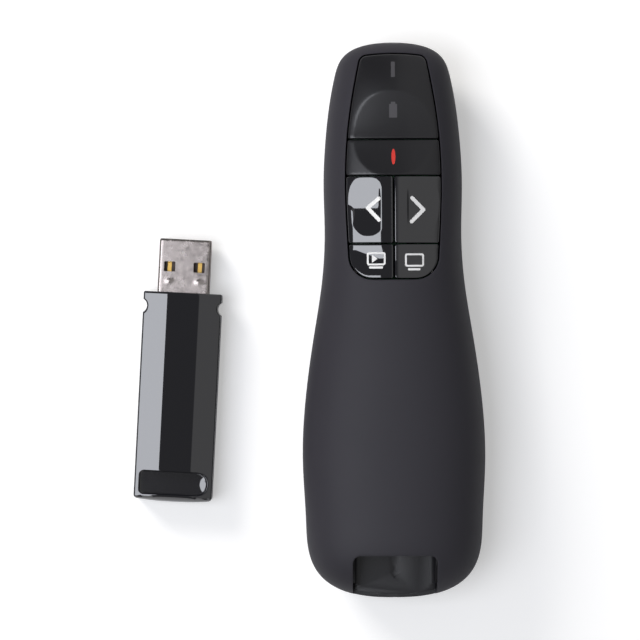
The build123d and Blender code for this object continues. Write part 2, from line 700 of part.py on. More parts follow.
def housing_section():
    """Cross-section of the receiver housing: crowned roof, eased edges, rounded keel edges."""
    half = HOUSING_HALF
    outline = [
        Line((-half, 0), (half, 0)),
        Line((half, 0), (half, EAVES_Z)),
        ThreePointArc((half, EAVES_Z), (0, HOUSING_HIGH), (-half, EAVES_Z)),
        Line((-half, EAVES_Z), (-half, 0)),
    ]
    face = make_face(outline)
    face = fillet(face.vertices().sort_by(Axis.Y)[:2], KEEL_EDGE)
    return fillet(face.vertices().sort_by(Axis.Y)[-2:], ROOF_EDGE)


def receiver_form():
    """The closed housing: section and plan together, rounded down at the tail."""
    tube = extrude(Plane.XZ * housing_section(), HOUSING_LENGTH, both=True)
    front = HOUSING_LENGTH / 2
    side_view = make_face(Polyline((-front, -1), (front, -1), (front, 9), (-front, 9), close=True))
    tail_top = side_view.vertices().sort_by(Axis.X)[:2].sort_by(Axis.Y)[-1]
    side_view = fillet(tail_top, 9 - TAIL_FACE)
    return tube & prism(housing_plan(), -1, 20) & extrude(Plane.YZ * side_view, 20, both=True)


def thumb_recess():
    """The recess behind the receiver's roof, round at its right end."""
    wide, deep, sunk = GRIP_SIZE
    y = GRIP_PLACE - HOUSING_LENGTH / 2
    plan = Pos(-deep / 4, y) * Rectangle(wide - deep / 2, deep)
    plan = fillet(plan.vertices().sort_by(Axis.X)[:2], GRIP_CORNER)
    plan += Pos((wide - deep) / 2, y) * Circle(deep / 2)
    pocket = prism(plan, HOUSING_HIGH - sunk, HOUSING_HIGH + 2).solid()
    floor = pocket.faces().sort_by(Axis.Z)[0]
    return chamfer(floor.edges(), GRIP_FLOOR_EDGE)


def in_place(shape):
    """From the receiver's own frame to where it lies."""
    return Pos(*RECEIVER_PLACE, 0) * Rot(0, 0, RECEIVER_TURN) * shape


def receiver_case():
    """Upper and lower halves of the receiver housing, by node name."""
    width, length, floor, roof = CAVITY
    front = HOUSING_LENGTH / 2
    sleeve = PLUG_WIDTH / 2
    rise = PLUG_HIGH / 2
    body = receiver_form() - block(-width / 2, width / 2, -length / 2, length / 2, floor, roof)
    port_low = RECEIVER_JOINT - rise
    body -= block(-sleeve, sleeve, front - 8, front + 1, port_low, RECEIVER_JOINT + rise)
    return {
        "receiver_upper_case": (body & block(-30, 30, -60, 60, RECEIVER_JOINT, 30)) - thumb_recess(),
        "receiver_lower_case": body & block(-30, 30, -60, 60, -1, RECEIVER_JOINT),
    }


def plug_parts():
    """USB plug: folded steel sleeve, plastic tongue and its four contacts, by node name."""
    tip = HOUSING_LENGTH / 2 + PLUG_OUT
    rear = HOUSING_LENGTH / 2 - PLUG_IN
    bore = PLUG_WIDTH - 2 * PLUG_SHEET
    bore_high = PLUG_HIGH - 2 * PLUG_SHEET
    outline = RectangleRounded(PLUG_WIDTH, PLUG_HIGH, PLUG_CORNER)
    outline -= RectangleRounded(bore, bore_high, PLUG_CORNER - PLUG_SHEET)
    mouth = Plane(origin=(0, tip, RECEIVER_JOINT), x_dir=(-1, 0, 0), z_dir=(0, 1, 0))
    sleeve = extrude(mouth * outline, rear - tip)
    half_x, half_y = WINDOW[0] / 2, WINDOW[1] / 2
    y = tip - WINDOW_BACK
    for x in (-WINDOW_X, WINDOW_X):
        sleeve -= block(x - half_x, x + half_x, y - half_y, y + half_y, 0, 10)
    low = RECEIVER_JOINT - bore_high / 2
    top = low + TONGUE_HIGH
    pads = [block(x - 0.5, x + 0.5, rear, tip - back, top, top + 0.15) for x, back in PADS]
    return {
        "usb_shell": sleeve,
        "usb_tongue": block(-TONGUE_HALF, TONGUE_HALF, rear, tip - 0.5, low, top),
        "usb_contacts": pads,
    }


def receiver_board_parts():
    """Circuit board of the receiver with its chip and crystal, by node name."""
    low = RECEIVER_JOINT - PLUG_HIGH / 2 + PLUG_SHEET + 0.2
    top = low + 0.8
    front = HOUSING_LENGTH / 2 - PLUG_IN - 0.1
    return {
        "receiver_board": block(-7, 7, -18, front, low, top),
        "receiver_chip": block(-2.5, 2.5, 0, 5, top, top + 0.9),
        "receiver_crystal": block(-1.6, 1.6, -6, -3.5, top, top + 0.8),
    }


# ---------------------------------------------------------------- assembly
def clicker_parts():
    """Every piece of the case, by node name."""
    made = keypad()
    made["top_shell"] = top_shell()
    made["bottom_shell"] = bottom_shell()
    made["battery_door"] = battery_door()
    made["inner_frame"] = inner_frame()
    made["main_board"] = main_board()
    made["key_switches"] = key_switches()
    for name in KEY_CENTRES:
        made[name + "_plunger"] = plunger(name)
    made.update(board_parts())
    made.update(laser_parts())
    made.update(power_parts())
    made["battery_left"] = battery(-1)
    made["battery_right"] = battery(1)
    made["battery_contacts"] = battery_contacts()
    made["battery_springs"] = battery_springs()
    made["case_screws"] = case_screws()
    return made


def receiver_parts():
    """Every piece of the receiver where it lies, by node name."""
    made = {**receiver_case(), **plug_parts(), **receiver_board_parts()}
    placed = {}
    for name, piece in made.items():
        several = isinstance(piece, list)
        placed[name] = [in_place(shape) for shape in piece] if several else in_place(piece)
    return placed


def save(name, piece):
    """Writes one node; a list becomes one group of separate solids."""
    solids = []
    for shape in piece if isinstance(piece, list) else [piece]:
        solids += shape.solids()
    export_step(Compound(solids), f"parts/{name}.step")


os.makedirs("parts", exist_ok=True)
for node, piece in {**clicker_parts(), **receiver_parts()}.items():
    save(node, piece)
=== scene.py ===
import json
import math
import bmesh
import bpy
import numpy as np
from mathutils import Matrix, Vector
from mathutils.geometry import delaunay_2d_cdt

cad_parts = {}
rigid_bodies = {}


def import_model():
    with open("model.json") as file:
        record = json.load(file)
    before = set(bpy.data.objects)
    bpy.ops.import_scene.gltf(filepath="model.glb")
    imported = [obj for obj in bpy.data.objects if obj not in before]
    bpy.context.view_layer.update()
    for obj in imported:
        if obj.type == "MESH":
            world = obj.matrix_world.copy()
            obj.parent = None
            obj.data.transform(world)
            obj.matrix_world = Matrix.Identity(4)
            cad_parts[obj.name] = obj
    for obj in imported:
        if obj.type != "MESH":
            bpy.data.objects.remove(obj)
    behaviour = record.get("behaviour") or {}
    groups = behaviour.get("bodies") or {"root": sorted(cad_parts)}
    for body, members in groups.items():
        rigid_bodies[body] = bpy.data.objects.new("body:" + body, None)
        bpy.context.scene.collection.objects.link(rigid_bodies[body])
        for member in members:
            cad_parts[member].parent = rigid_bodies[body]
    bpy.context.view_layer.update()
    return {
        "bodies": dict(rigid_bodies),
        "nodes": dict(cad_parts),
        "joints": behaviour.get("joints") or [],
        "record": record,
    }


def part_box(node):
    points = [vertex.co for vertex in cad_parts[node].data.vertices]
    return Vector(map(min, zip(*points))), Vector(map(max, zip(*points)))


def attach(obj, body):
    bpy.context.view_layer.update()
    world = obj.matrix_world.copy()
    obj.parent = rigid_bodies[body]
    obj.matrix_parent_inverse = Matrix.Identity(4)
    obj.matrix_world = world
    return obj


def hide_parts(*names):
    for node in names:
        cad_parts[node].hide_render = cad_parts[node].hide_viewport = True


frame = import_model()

# ---------------------------------------------------------------- upper shell
# The crowned upper half of the case: one moulded wall, sprayed with a near-black soft-touch paint.
# It carries the keypad opening and the mouth that the receiver slides out of, and it is drawn
# down on the lower shell by two screws from below. Sizes are in millimetres.
MM = 0.001
WELD = 2e-6  # metres
SLIVER = 8e-6  # twice the area, in square millimetres, under which a triangle is dropped
JOINT_Z = 12.0
WALL = 1.8
CROWN_FULL = 0.664  # handle of each quarter curve: 0.55 is an ellipse, 1 is a box
SOLE_FULL = 0.709
CASE_END = 63.5
# distance from mid-length, half width, height above the joint, depth below it
CASE_BODY = [
    (-45.5, 20.25, 12.6, 13.4),
    (-32.0, 20.9, 12.8, 13.4),
    (-18.0, 20.2, 12.7, 13.4),
    (-4.0, 18.3, 12.3, 13.4),
    (9.0, 16.3, 11.7, 13.4),
    (20.0, 15.65, 11.1, 13.3),
    (31.0, 15.85, 10.4, 12.8),
    (42.0, 15.3, 9.6, 11.7),
    (52.0, 14.0, 8.7, 10.4),
]
END_SHARES = (0.28, 0.5, 0.7, 0.83, 0.92, 0.97, 0.993, 1.0)
TAIL_CURVES = ((0.03, 3.4, 2.5), (0.0, 2.6, 2.3), (0.0, 2.6, 2.3))  # taper, outer and inner power
NOSE_CURVES = ((0.2, 5.0, 2.3), (0.12, 3.0, 2.3), (0.16, 3.0, 2.3))
ACROSS_SCALE = 26.0  # rough length in millimetres of a section from crest to joint
SOLE_EASE = 0.3  # how softly the walls turn into the flat sole
SEAM_DEPTH = 0.22  # groove left along the joint line
SEAM_HALF = 0.09  # and its half height
SEAM_REACH = 0.1  # the same, in the measure of ACROSS_SCALE


def end_stations(base, curves):
    """Stations that round one end of the case off from its last body station."""
    start = abs(base[0])
    made = []
    for share in END_SHARES:
        reach = share * (CASE_END - start)
        sizes = [
            (size - taper * reach) * (1 - share**outer) ** (1 / inner)
            for size, (taper, outer, inner) in zip(base[1:], curves)
        ]
        made.append((math.copysign(start + reach, base[0]), *sizes))
    return made


def natural_spline(knots, values):
    """Smooth curve through rows of values at the knots, as a function of place."""
    gaps = np.diff(knots)
    count = len(knots)
    matrix = np.eye(count)
    pull = np.zeros_like(values)
    for i in range(1, count - 1):
        matrix[i, i - 1 : i + 2] = gaps[i - 1], 2 * (gaps[i - 1] + gaps[i]), gaps[i]
        rise = (values[i + 1] - values[i]) / gaps[i] - (values[i] - values[i - 1]) / gaps[i - 1]
        pull[i] = 6 * rise
    bend = np.linalg.solve(matrix, pull)

    def curve(places):
        i = np.clip(np.searchsorted(knots, places) - 1, 0, count - 2)
        gap = gaps[i]
        b = (places - knots[i]) / gap
        a = 1 - b
        gap, a, b = gap[:, None], a[:, None], b[:, None]
        straight = a * values[i] + b * values[i + 1]
        return straight + ((a**3 - a) * bend[i] + (b**3 - b) * bend[i + 1]) * gap**2 / 6

    return curve


STATIONS = np.array(
    end_stations(CASE_BODY[0], TAIL_CURVES)[::-1] + CASE_BODY + end_stations(CASE_BODY[-1], NOSE_CURVES)
)
REACHES = np.concatenate([[0], np.cumsum(np.linalg.norm(np.diff(STATIONS, axis=0), axis=1))])
ALONG = np.linspace(0, REACHES[-1], 2400)
FORM = natural_spline(REACHES, STATIONS)(ALONG)
FORM_Y = np.clip(FORM[:, 0], -CASE_END, CASE_END)
FORM_SIZES = np.maximum(FORM[:, 1:], 0)
TURN = np.linspace(0, 1, 401)


def quarter(full, t):
    """Unit quarter of a section: from (1, 0) at the joint to (0, 1) at the crest."""
    s = 1 - t
    return s**3 + 3 * s * s * t + 3 * s * t * t * full, 3 * s * s * t * full + 3 * s * t * t + t**3


def flat_sole(z, inset=0.0):
    """Heights on the lower half, held level at the sole."""
    return (z + inset + np.sqrt((z - inset) ** 2 + SOLE_EASE**2)) / 2


def skin_point(surface, side, inset=0.0):
    """Points of the case's skin from surface places (across, along); side 1 is the upper half."""
    across = surface[:, 0] / ACROSS_SCALE
    y = np.interp(surface[:, 1], ALONG, FORM_Y)
    half = np.interp(surface[:, 1], ALONG, FORM_SIZES[:, 0])
    size = np.interp(surface[:, 1], ALONG, FORM_SIZES[:, 1 if side > 0 else 2])
    unit_x, unit_z = quarter(CROWN_FULL if side > 0 else SOLE_FULL, 1 - np.abs(across))
    x = np.sign(across) * np.maximum(half - inset, 0) * unit_x
    z = JOINT_Z + side * np.maximum(size - inset, 0) * unit_z
    if side < 0:
        z = flat_sole(z, inset)
    return np.stack([x, y * (CASE_END - inset) / CASE_END, z], 1)


def skin_place(plan, side):
    """Surface places (across, along) of plan points (x, y) on the case's skin."""
    half = np.interp(plan[:, 1], FORM_Y, FORM_SIZES[:, 0])
    unit_x = quarter(CROWN_FULL if side > 0 else SOLE_FULL, TURN)[0]
    ratio = np.clip(np.abs(plan[:, 0]) / np.maximum(half, 1e-6), 0, 1)
    t = np.interp(-ratio, -unit_x, TURN)
    along = np.interp(plan[:, 1], FORM_Y, ALONG)
    return np.stack([np.sign(plan[:, 0]) * (1 - t) * ACROSS_SCALE, along], 1)


def on_skin(points, side, inset=0.0):
    """Surface places of points on the skin, or on the inner face that lies inset from it."""
    plan = points[:, :2] / (1, (CASE_END - inset) / CASE_END)
    half = np.interp(plan[:, 1], FORM_Y, FORM_SIZES[:, 0])
    plan[:, 0] *= half / np.maximum(half - inset, 1e-6)
    return skin_place(plan, side)


def skin_rise(plan, side, inset=0.0):
    """How far from the joint the skin or the inner face lies over plan points."""
    along = plan[:, 1] / ((CASE_END - inset) / CASE_END)
    half = np.interp(along, FORM_Y, FORM_SIZES[:, 0])
    size = np.interp(along, FORM_Y, FORM_SIZES[:, 1 if side > 0 else 2])
    unit_x, unit_z = quarter(CROWN_FULL if side > 0 else SOLE_FULL, TURN)
    ratio = np.clip(np.abs(plan[:, 0]) / np.maximum(half - inset, 1e-6), 0, 1)
    return np.interp(-ratio, -unit_x, unit_z) * np.maximum(size - inset, 0)


def crown_height(plan):
    """Height of the crown over plan points."""
    return skin_point(skin_place(plan, 1), 1)[:, 2]


def unit(vectors):
    """The vectors, each scaled to a length of one."""
    return vectors / np.linalg.norm(vectors, axis=-1, keepdims=True)


def rounded_outline(corners, spacing=0.6):
    """Anticlockwise outline through corners (x, y, radius), with its straights filled evenly."""
    points = []
    for i, (x, y, radius) in enumerate(corners):
        here = np.array((x, y))
        if radius == 0:
            points.append(here)
            continue
        back = unit(np.array(corners[i - 1][:2]) - here)
        ahead = unit(np.array(corners[(i + 1) % len(corners)][:2]) - here)
        half = math.acos(np.clip(back @ ahead, -1, 1)) / 2
        centre = here + unit(back + ahead) * radius / math.sin(half)
        spoke = here + back * radius / math.tan(half) - centre
        turn = math.pi - 2 * half
        turn = math.copysign(turn, ahead[0] * back[1] - ahead[1] * back[0])
        steps = max(3, math.ceil(abs(turn) / math.radians(9)))
        for k in range(steps + 1):
            cos, sin = math.cos(turn * k / steps), math.sin(turn * k / steps)
            points.append(centre + (cos * spoke[0] - sin * spoke[1], sin * spoke[0] + cos * spoke[1]))
    filled = []
    for here, ahead in zip(points, points[1:] + points[:1]):
        steps = max(1, math.ceil(np.linalg.norm(ahead - here) / spacing))
        filled += [here + (ahead - here) * k / steps for k in range(steps)]
    return np.array(filled)


def grown(outline, grow):
    """The outline moved outwards by grow, or inwards if it is negative."""
    back = unit(outline - np.roll(outline, 1, 0))
    ahead = unit(np.roll(outline, -1, 0) - outline)
    side = np.stack([back[:, 1], -back[:, 0]], 1)
    out = unit(np.stack([(back + ahead)[:, 1], -(back + ahead)[:, 0]], 1))
    return outline + out * (grow / np.maximum(np.sum(out * side, 1), 0.5))[:, None]


def inside(outline, points):
    """Which points lie inside a closed outline."""
    ahead = np.roll(outline, -1, 0)
    x, y = points[:, 0:1], points[:, 1:2]
    crosses = (outline[:, 1] > y) != (ahead[:, 1] > y)
    run = np.where(ahead[:, 1] == outline[:, 1], 1, ahead[:, 1] - outline[:, 1])
    at = outline[:, 0] + (y - outline[:, 1]) / run * (ahead[:, 0] - outline[:, 0])
    return np.sum(crosses & (x < at), 1) % 2 == 1


def net(points, chains):
    """Triangles over points that keep every closed chain as edges: new points and faces."""
    stack = np.vstack([*chains, points])
    edges = []
    start = 0
    for chain in chains:
        edges += [(start + i, start + (i + 1) % len(chain)) for i in range(len(chain))]
        start += len(chain)
    made = delaunay_2d_cdt([Vector(p) for p in stack.tolist()], edges, [], 0, 1e-6, False)
    points, faces = np.array([tuple(p) for p in made[0]]), np.array(made[2])
    a, b = points[faces[:, 1]] - points[faces[:, 0]], points[faces[:, 2]] - points[faces[:, 0]]
    return points, faces[np.abs(a[:, 0] * b[:, 1] - a[:, 1] * b[:, 0]) > SLIVER]


def clear_of(points, chains, distance):
    """The points that stay at least a distance away from every chain."""
    walls = np.vstack(chains)
    near = np.zeros(len(points), bool)
    for start in range(0, len(points), 2000):
        gap = points[start : start + 2000, None] - walls[None]
        near[start : start + 2000] = np.min(np.sum(gap**2, 2), 1) < distance**2
    return points[~near]


def filled_outline(outline, spacing, holes=()):
    """Plan points and triangles that fill an outline around its holes."""
    low, high = outline.min(0), outline.max(0)
    axes = [np.arange(low[i] + spacing / 2, high[i], spacing) for i in (0, 1)]
    grid = np.stack(np.meshgrid(*axes), -1).reshape(-1, 2)
    keep = inside(outline, grid)
    for hole in holes:
        keep &= ~inside(hole, grid)
    grid = clear_of(grid[keep], [outline, *holes], 0.6 * spacing)
    points, faces = net(grid, [outline, *holes])
    middles = points[faces].mean(1)
    good = inside(outline, middles)
    for hole in holes:
        good &= ~inside(hole, middles)
    return points, faces[good]


def band(ring_a, ring_b, closed=True):
    """Faces between two rings of equally many points."""
    count = len(ring_a)
    last = count if closed else count - 1
    faces = [(i, (i + 1) % count, count + (i + 1) % count, count + i) for i in range(last)]
    return np.vstack([ring_a, ring_b]), faces


def bands(rings):
    """Bands of faces from each ring to the next."""
    return [band(a, b) for a, b in zip(rings, rings[1:])]


def raised(plan, heights):
    """Plan points with their heights."""
    return np.column_stack([plan, np.broadcast_to(heights, len(plan))])


def lid(outline, level, spacing, holes=()):
    """A patch that fills an outline at a level: a number, or a function of plan points."""
    plan, faces = filled_outline(outline, spacing, holes)
    return raised(plan, level(plan) if callable(level) else level), faces


def edge_rings(outline, top, radius, steps):
    """Rings of a rounded outer edge, from a top surface to the upright wall."""
    rings = []
    for k in range(steps + 1):
        angle = math.pi / 2 * k / steps
        plan = grown(outline, -radius * (1 - math.sin(angle)))
        rings.append(raised(plan, top(plan) - radius * (1 - math.cos(angle))))
    return rings


def shape(name, patches, material, closed=True, crease=32):
    """One mesh object from patches of points and faces, welded and shaded."""
    points = np.vstack([patch[0] for patch in patches]) * MM
    faces = []
    start = 0
    for patch_points, patch_faces in patches:
        faces += [tuple(int(i) + start for i in face) for face in patch_faces]
        start += len(patch_points)
    mesh = bpy.data.meshes.new(name)
    mesh.from_pydata(points.tolist(), [], faces)
    work = bmesh.new()
    work.from_mesh(mesh)
    bmesh.ops.remove_doubles(work, verts=work.verts, dist=WELD)
    bmesh.ops.dissolve_degenerate(work, edges=work.edges, dist=WELD / 20)
    if closed:
        bmesh.ops.recalc_face_normals(work, faces=work.faces)
    work.to_mesh(mesh)
    work.free()
    mesh.shade_smooth()
    mesh.set_sharp_from_angle(angle=math.radians(crease))
    mesh.materials.append(material)
    made = bpy.data.objects.new(name, mesh)
    bpy.context.scene.collection.objects.link(made)
    return made


def piece(name, patches, material, body, stands_for=(), closed=True, crease=32):
    """A shape that rides on its body and may stand for CAD nodes."""
    made = shape(name, patches, material, closed, crease)
    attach(made, body)
    if stands_for:
        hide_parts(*stands_for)


ROW_SPACING = ALONG[-1] / 189
SKIN_ROWS = np.sort(np.append(np.linspace(0, ALONG[-1], 190), (SEAM_REACH, ALONG[-1] - SEAM_REACH)))
SKIN_COLUMNS = np.concatenate([[-1], np.linspace(-1, 1, 73), [1]])
SKIN_COLUMNS *= ACROSS_SCALE
SKIN_COLUMNS[1] += SEAM_REACH
SKIN_COLUMNS[-2] -= SEAM_REACH


def seamed(places, points):
    """Skin points with those at the joint drawn in, which leaves a fine groove there."""
    depth = SEAM_DEPTH * np.clip(1 - np.abs(points[:, 2] - JOINT_Z) / SEAM_HALF, 0, 1)
    drawn = points.copy()
    drawn[:, :2] *= 1 - depth[:, None] / np.maximum(np.linalg.norm(points[:, :2], axis=1), 1)[:, None]
    drawn[np.abs(places[:, 0]) > ACROSS_SCALE - SEAM_REACH / 2, 2] = JOINT_Z
    return drawn


def skin(side, inset, chains, dropped):
    """Skin of the case as triangles, cut along chains of places; dropped(points) tells which go."""
    grid = np.stack(np.meshgrid(SKIN_COLUMNS, SKIN_ROWS), -1).reshape(-1, 2)
    edge = np.abs(grid[:, 0]) > ACROSS_SCALE - 2 * SEAM_REACH
    inner = clear_of(grid[~edge], chains, 0.4 * ROW_SPACING)
    places, faces = net(np.vstack([grid[edge], inner]), chains)
    points = skin_point(places, side, inset)
    middles = points[faces].mean(1)
    return seamed(places, points) if inset == 0 else points, faces[~dropped(middles)]


def feed(tree, node, inputs):
    """Give a node's inputs, by socket: each a value, or the socket that it is linked to."""
    for socket, value in inputs.items():
        if isinstance(value, bpy.types.NodeSocket):
            tree.links.new(value, node.inputs[socket])
        else:
            node.inputs[socket].default_value = value


def add_node(tree, kind, inputs=(), **settings):
    """A new node in a tree, with its settings and inputs."""
    made = tree.nodes.new(kind)
    for setting, value in settings.items():
        setattr(made, setting, value)
    feed(tree, made, dict(inputs))
    return made


def calculated(tree, operation, *values):
    """The result of a Math node, as a socket."""
    return add_node(tree, "ShaderNodeMath", enumerate(values), operation=operation).outputs[0]


def blended(tree, share, base, other):
    """A colour that goes from base to another by a share, as a socket."""
    return add_node(tree, "ShaderNodeMix", {0: share, 6: base, 7: other}, data_type="RGBA").outputs[2]


def grain_group():
    """Shader group: drifts a colour and a roughness slowly and gives a fine grain height."""
    tree = bpy.data.node_groups.new("moulding_grain", "ShaderNodeTree")
    colour, number = "NodeSocketColor", "NodeSocketFloat"
    for name, kind, value in (
        ("Colour", colour, (0.5, 0.5, 0.5, 1)),
        ("Colour Drift", number, 0.1),
        ("Roughness", number, 0.5),
        ("Roughness Drift", number, 0.1),
        ("Grain Scale", number, 4000.0),
        ("Drift Scale", number, 60.0),
    ):
        tree.interface.new_socket(name, in_out="INPUT", socket_type=kind).default_value = value
    for name, kind in (("Colour", colour), ("Roughness", number), ("Grain", number)):
        tree.interface.new_socket(name, in_out="OUTPUT", socket_type=kind)
    given = add_node(tree, "NodeGroupInput").outputs
    place = add_node(tree, "ShaderNodeTexCoord").outputs["Object"]
    cloud = {"Vector": place, "Scale": given["Drift Scale"], "Detail": 4}
    cloud = add_node(tree, "ShaderNodeTexNoise", cloud).outputs["Fac"]
    grain = {"Vector": place, "Scale": given["Grain Scale"], "Detail": 2}
    grain = add_node(tree, "ShaderNodeTexNoise", grain).outputs["Fac"]
    drift = calculated(tree, "SUBTRACT", cloud, 0.5)
    gain = calculated(tree, "MULTIPLY_ADD", drift, given["Colour Drift"], 1.0)
    tint = {0: given["Colour"], "Scale": gain}
    tint = add_node(tree, "ShaderNodeVectorMath", tint, operation="SCALE").outputs[0]
    polish = calculated(tree, "MULTIPLY_ADD", drift, given["Roughness Drift"], given["Roughness"])
    add_node(tree, "NodeGroupOutput", {"Colour": tint, "Roughness": polish, "Grain": grain})
    return tree


# What the finishes of all parts share: a slow drift in colour and gloss, and a fine grain.
GRAIN = grain_group()


def relief(tree, height, strength, depth):
    """Bump a material by a height, given as a socket, with a depth in millimetres."""
    given = {"Height": height, "Strength": strength, "Distance": depth * MM}
    bump = add_node(tree, "ShaderNodeBump", given)
    feed(tree, tree.nodes["Principled BSDF"], {"Normal": bump.outputs["Normal"]})


def finish(name, colour, roughness, drift=0.12, gloss_drift=0.1, grain=4000.0, depth=0.0, **sockets):
    """A finish with drifting colour and gloss and, where depth is given, a grain in relief."""
    material = bpy.data.materials.new(name)
    material.use_nodes = True
    tree = material.node_tree
    given = {"Colour": (*colour, 1), "Colour Drift": drift, "Grain Scale": grain}
    given |= {"Roughness": roughness, "Roughness Drift": gloss_drift}
    group = add_node(tree, "ShaderNodeGroup", given, node_tree=GRAIN).outputs
    given = {"Base Color": group["Colour"], "Roughness": group["Roughness"]}
    given |= {socket.replace("_", " "): value for socket, value in sockets.items()}
    feed(tree, tree.nodes["Principled BSDF"], given)
    if depth:
        relief(tree, group["Grain"], 0.6, depth)
    return material


SOFT_TOUCH = finish("soft_touch_paint", (0.0215, 0.02, 0.0265), 0.62, grain=2600.0, depth=0.02)

GAP = 0.28  # running gap round every key
RIM = 0.22  # rounding of the opening's edge
KEYPAD_REAR = 9.45
KEYPAD_FRONT = 60.0
NOSE_HALF = 7.3  # half width of the keypad at its front
# the keypad's sides (x, y) from the nose end to the bottom
ISLAND_SIDE = np.array(
    [(NOSE_HALF, KEYPAD_FRONT), (9.2, 50.0), (10.35, 40.5), (10.7, 30.0), (10.25, 18.0), (9.8, KEYPAD_REAR)]
)
ISLAND_TOP = 60.5
ISLAND_CORNERS = (1.8, 5.2)  # radius at the nose end and at the bottom
MOUTH_HALF = 9.6
MOUTH_FRONT = -53.3
MOUTH_CORNER = 1.8
BORE_RADIUS = 2.8  # hole for the laser bezel, shared with the lower shell
LASER_Z = 11.4
NOSE_Y = 50.0  # ahead of here only the laser's hole comes near the middle

SIDE_CURVE = natural_spline(-ISLAND_SIDE[:, 1], ISLAND_SIDE[:, :1])


def island_half(y):
    """Half width of the keypad at a station."""
    return float(SIDE_CURVE(np.array([-y]))[0, 0])


def keypad_cell(y0, y1, left, right, radii):
    """Corners of one cell of the keypad: left and right are a straight x, or None for its side."""
    bottom_left, bottom_right, top_right, top_left = radii

    def edge(fixed, sign, y):
        return fixed if fixed is not None else sign * island_half(y)

    def between(fixed, sign, low, high):
        if fixed is not None:
            return []
        return [(sign * island_half(y), y, 0) for y in np.arange(low, high, 1.5)]

    corners = [(edge(left, -1, y0), y0, bottom_left), (edge(right, 1, y0), y0, bottom_right)]
    corners += between(right, 1, y0 + bottom_right + 1, y1 - top_right - 1)
    corners.append((edge(right, 1, y1), y1, top_right))
    if y1 >= KEYPAD_FRONT:
        across = (4.5, 3, 1.5, 0, -1.5, -3, -4.5)
        corners += [(x, ISLAND_TOP - 0.5 * (x / NOSE_HALF) ** 2, 0) for x in across]
    corners.append((edge(left, -1, y1), y1, top_left))
    corners += between(left, -1, y0 + bottom_left + 1, y1 - top_left - 1)[::-1]
    return corners


nose_corner, deep_corner = ISLAND_CORNERS
radii = (deep_corner, deep_corner, nose_corner, nose_corner)
island = rounded_outline(keypad_cell(KEYPAD_REAR, KEYPAD_FRONT, None, None, radii))


def rim_rings(outline, radius):
    """Outlines and drops of a rounded edge that turns down into an opening."""
    angles = np.linspace(0, math.pi / 2, 5)
    return [(grown(outline, radius * (1 - math.sin(a))), radius * (1 - math.cos(a))) for a in angles]


PAST_TAIL = -70.0  # the receiver's mouth is drawn to here, well past the tail
mouth = rounded_outline(
    [(-MOUTH_HALF, PAST_TAIL, 0), (MOUTH_HALF, PAST_TAIL, 0)]
    + [(MOUTH_HALF, MOUTH_FRONT, MOUTH_CORNER), (-MOUTH_HALF, MOUTH_FRONT, MOUTH_CORNER)],
    0.35,
)
TAIL_Y = FORM_Y[: len(FORM_Y) // 4]
TAIL_RISING = np.maximum.accumulate(FORM_SIZES[: len(FORM_Y) // 4, 0])


def held_on_case(outline, inset=0.0):
    """Plan points pulled forward to the tail's edge where the outline runs past it."""
    shrink = (CASE_END - inset) / CASE_END
    edge = np.interp(np.abs(outline[:, 0]), TAIL_RISING - inset, TAIL_Y * shrink)
    held = outline.copy()
    held[:, 1] = np.maximum(held[:, 1], edge + 0.001)
    return held


def over_skin(plan, inset, drop):
    """Points on the crown over a plan outline, for the outer skin or the inner face."""
    return raised(plan, np.maximum(JOINT_Z + skin_rise(plan, 1, inset) - drop, JOINT_Z))


def past_mouth(corners):
    """Whether a face lies across the mouth's open end, where there is no shell."""
    return np.abs(corners[:, 0]).min() < MOUTH_HALF - 0.5 and corners[:, 1].max() < MOUTH_FRONT - 4


def opening_rim(outline, held=False):
    """Rounded edge and wall of an opening in the upper shell, from outer skin to inner face."""
    keep = held_on_case if held else (lambda points, inset=0.0: points)
    rings = [over_skin(keep(plan), 0, drop) for plan, drop in rim_rings(outline, RIM)]
    rings.append(over_skin(keep(outline, WALL), WALL, 0))
    if not held:
        return bands(rings)
    return [
        (points, [face for face in faces if not past_mouth(points[list(face)])])
        for points, faces in bands(rings)
    ]


keypad_opening = grown(island, GAP)


def end_reach(x, z, side, end, inset=0.0):
    """Places along the case where its skin passes points (x, z), near its nose (1) or tail (-1)."""
    unit_x, unit_z = quarter(CROWN_FULL if side > 0 else SOLE_FULL, TURN)
    near, far = np.full(len(x), 40.0), np.full(len(x), CASE_END)
    for _ in range(40):
        middle = (near + far) / 2
        half = np.maximum(np.interp(end * middle, FORM_Y, FORM_SIZES[:, 0]) - inset, 1e-6)
        size = np.interp(end * middle, FORM_Y, FORM_SIZES[:, 1 if side > 0 else 2]) - inset
        ratio = np.abs(x) / half
        reach = np.interp(-np.minimum(ratio, 1), -unit_x, unit_z) * size
        beyond = (ratio > 1) | (reach < side * (z - JOINT_Z))
        far = np.where(beyond, middle, far)
        near = np.where(beyond, near, middle)
    return end * near * (CASE_END - inset) / CASE_END


def bore_ring(side, inset=0.0):
    """Where the laser's hole passes one half of the case, from right to left."""
    start = side * math.asin((JOINT_Z - LASER_Z) / BORE_RADIUS)
    angles = np.linspace(start, math.pi - start, 41)
    x, z = BORE_RADIUS * np.cos(angles), LASER_Z + side * BORE_RADIUS * np.sin(angles)
    return np.column_stack([x, end_reach(x, z, side, 1, inset), z])


def bore_chain(side, inset=0.0):
    """Surface places round the laser's hole, closed along the end of the skin."""
    places = on_skin(bore_ring(side, inset), side, inset)
    places[[0, -1], 0] = ACROSS_SCALE, -ACROSS_SCALE
    return np.vstack([places, [(-ACROSS_SCALE, ALONG[-1]), (ACROSS_SCALE, ALONG[-1])]])


def bored(points):
    """Which points lie in the laser's hole."""
    away = points[:, 0] ** 2 + (points[:, 2] - LASER_Z) ** 2
    return (away < BORE_RADIUS**2) & (points[:, 1] > NOSE_Y)


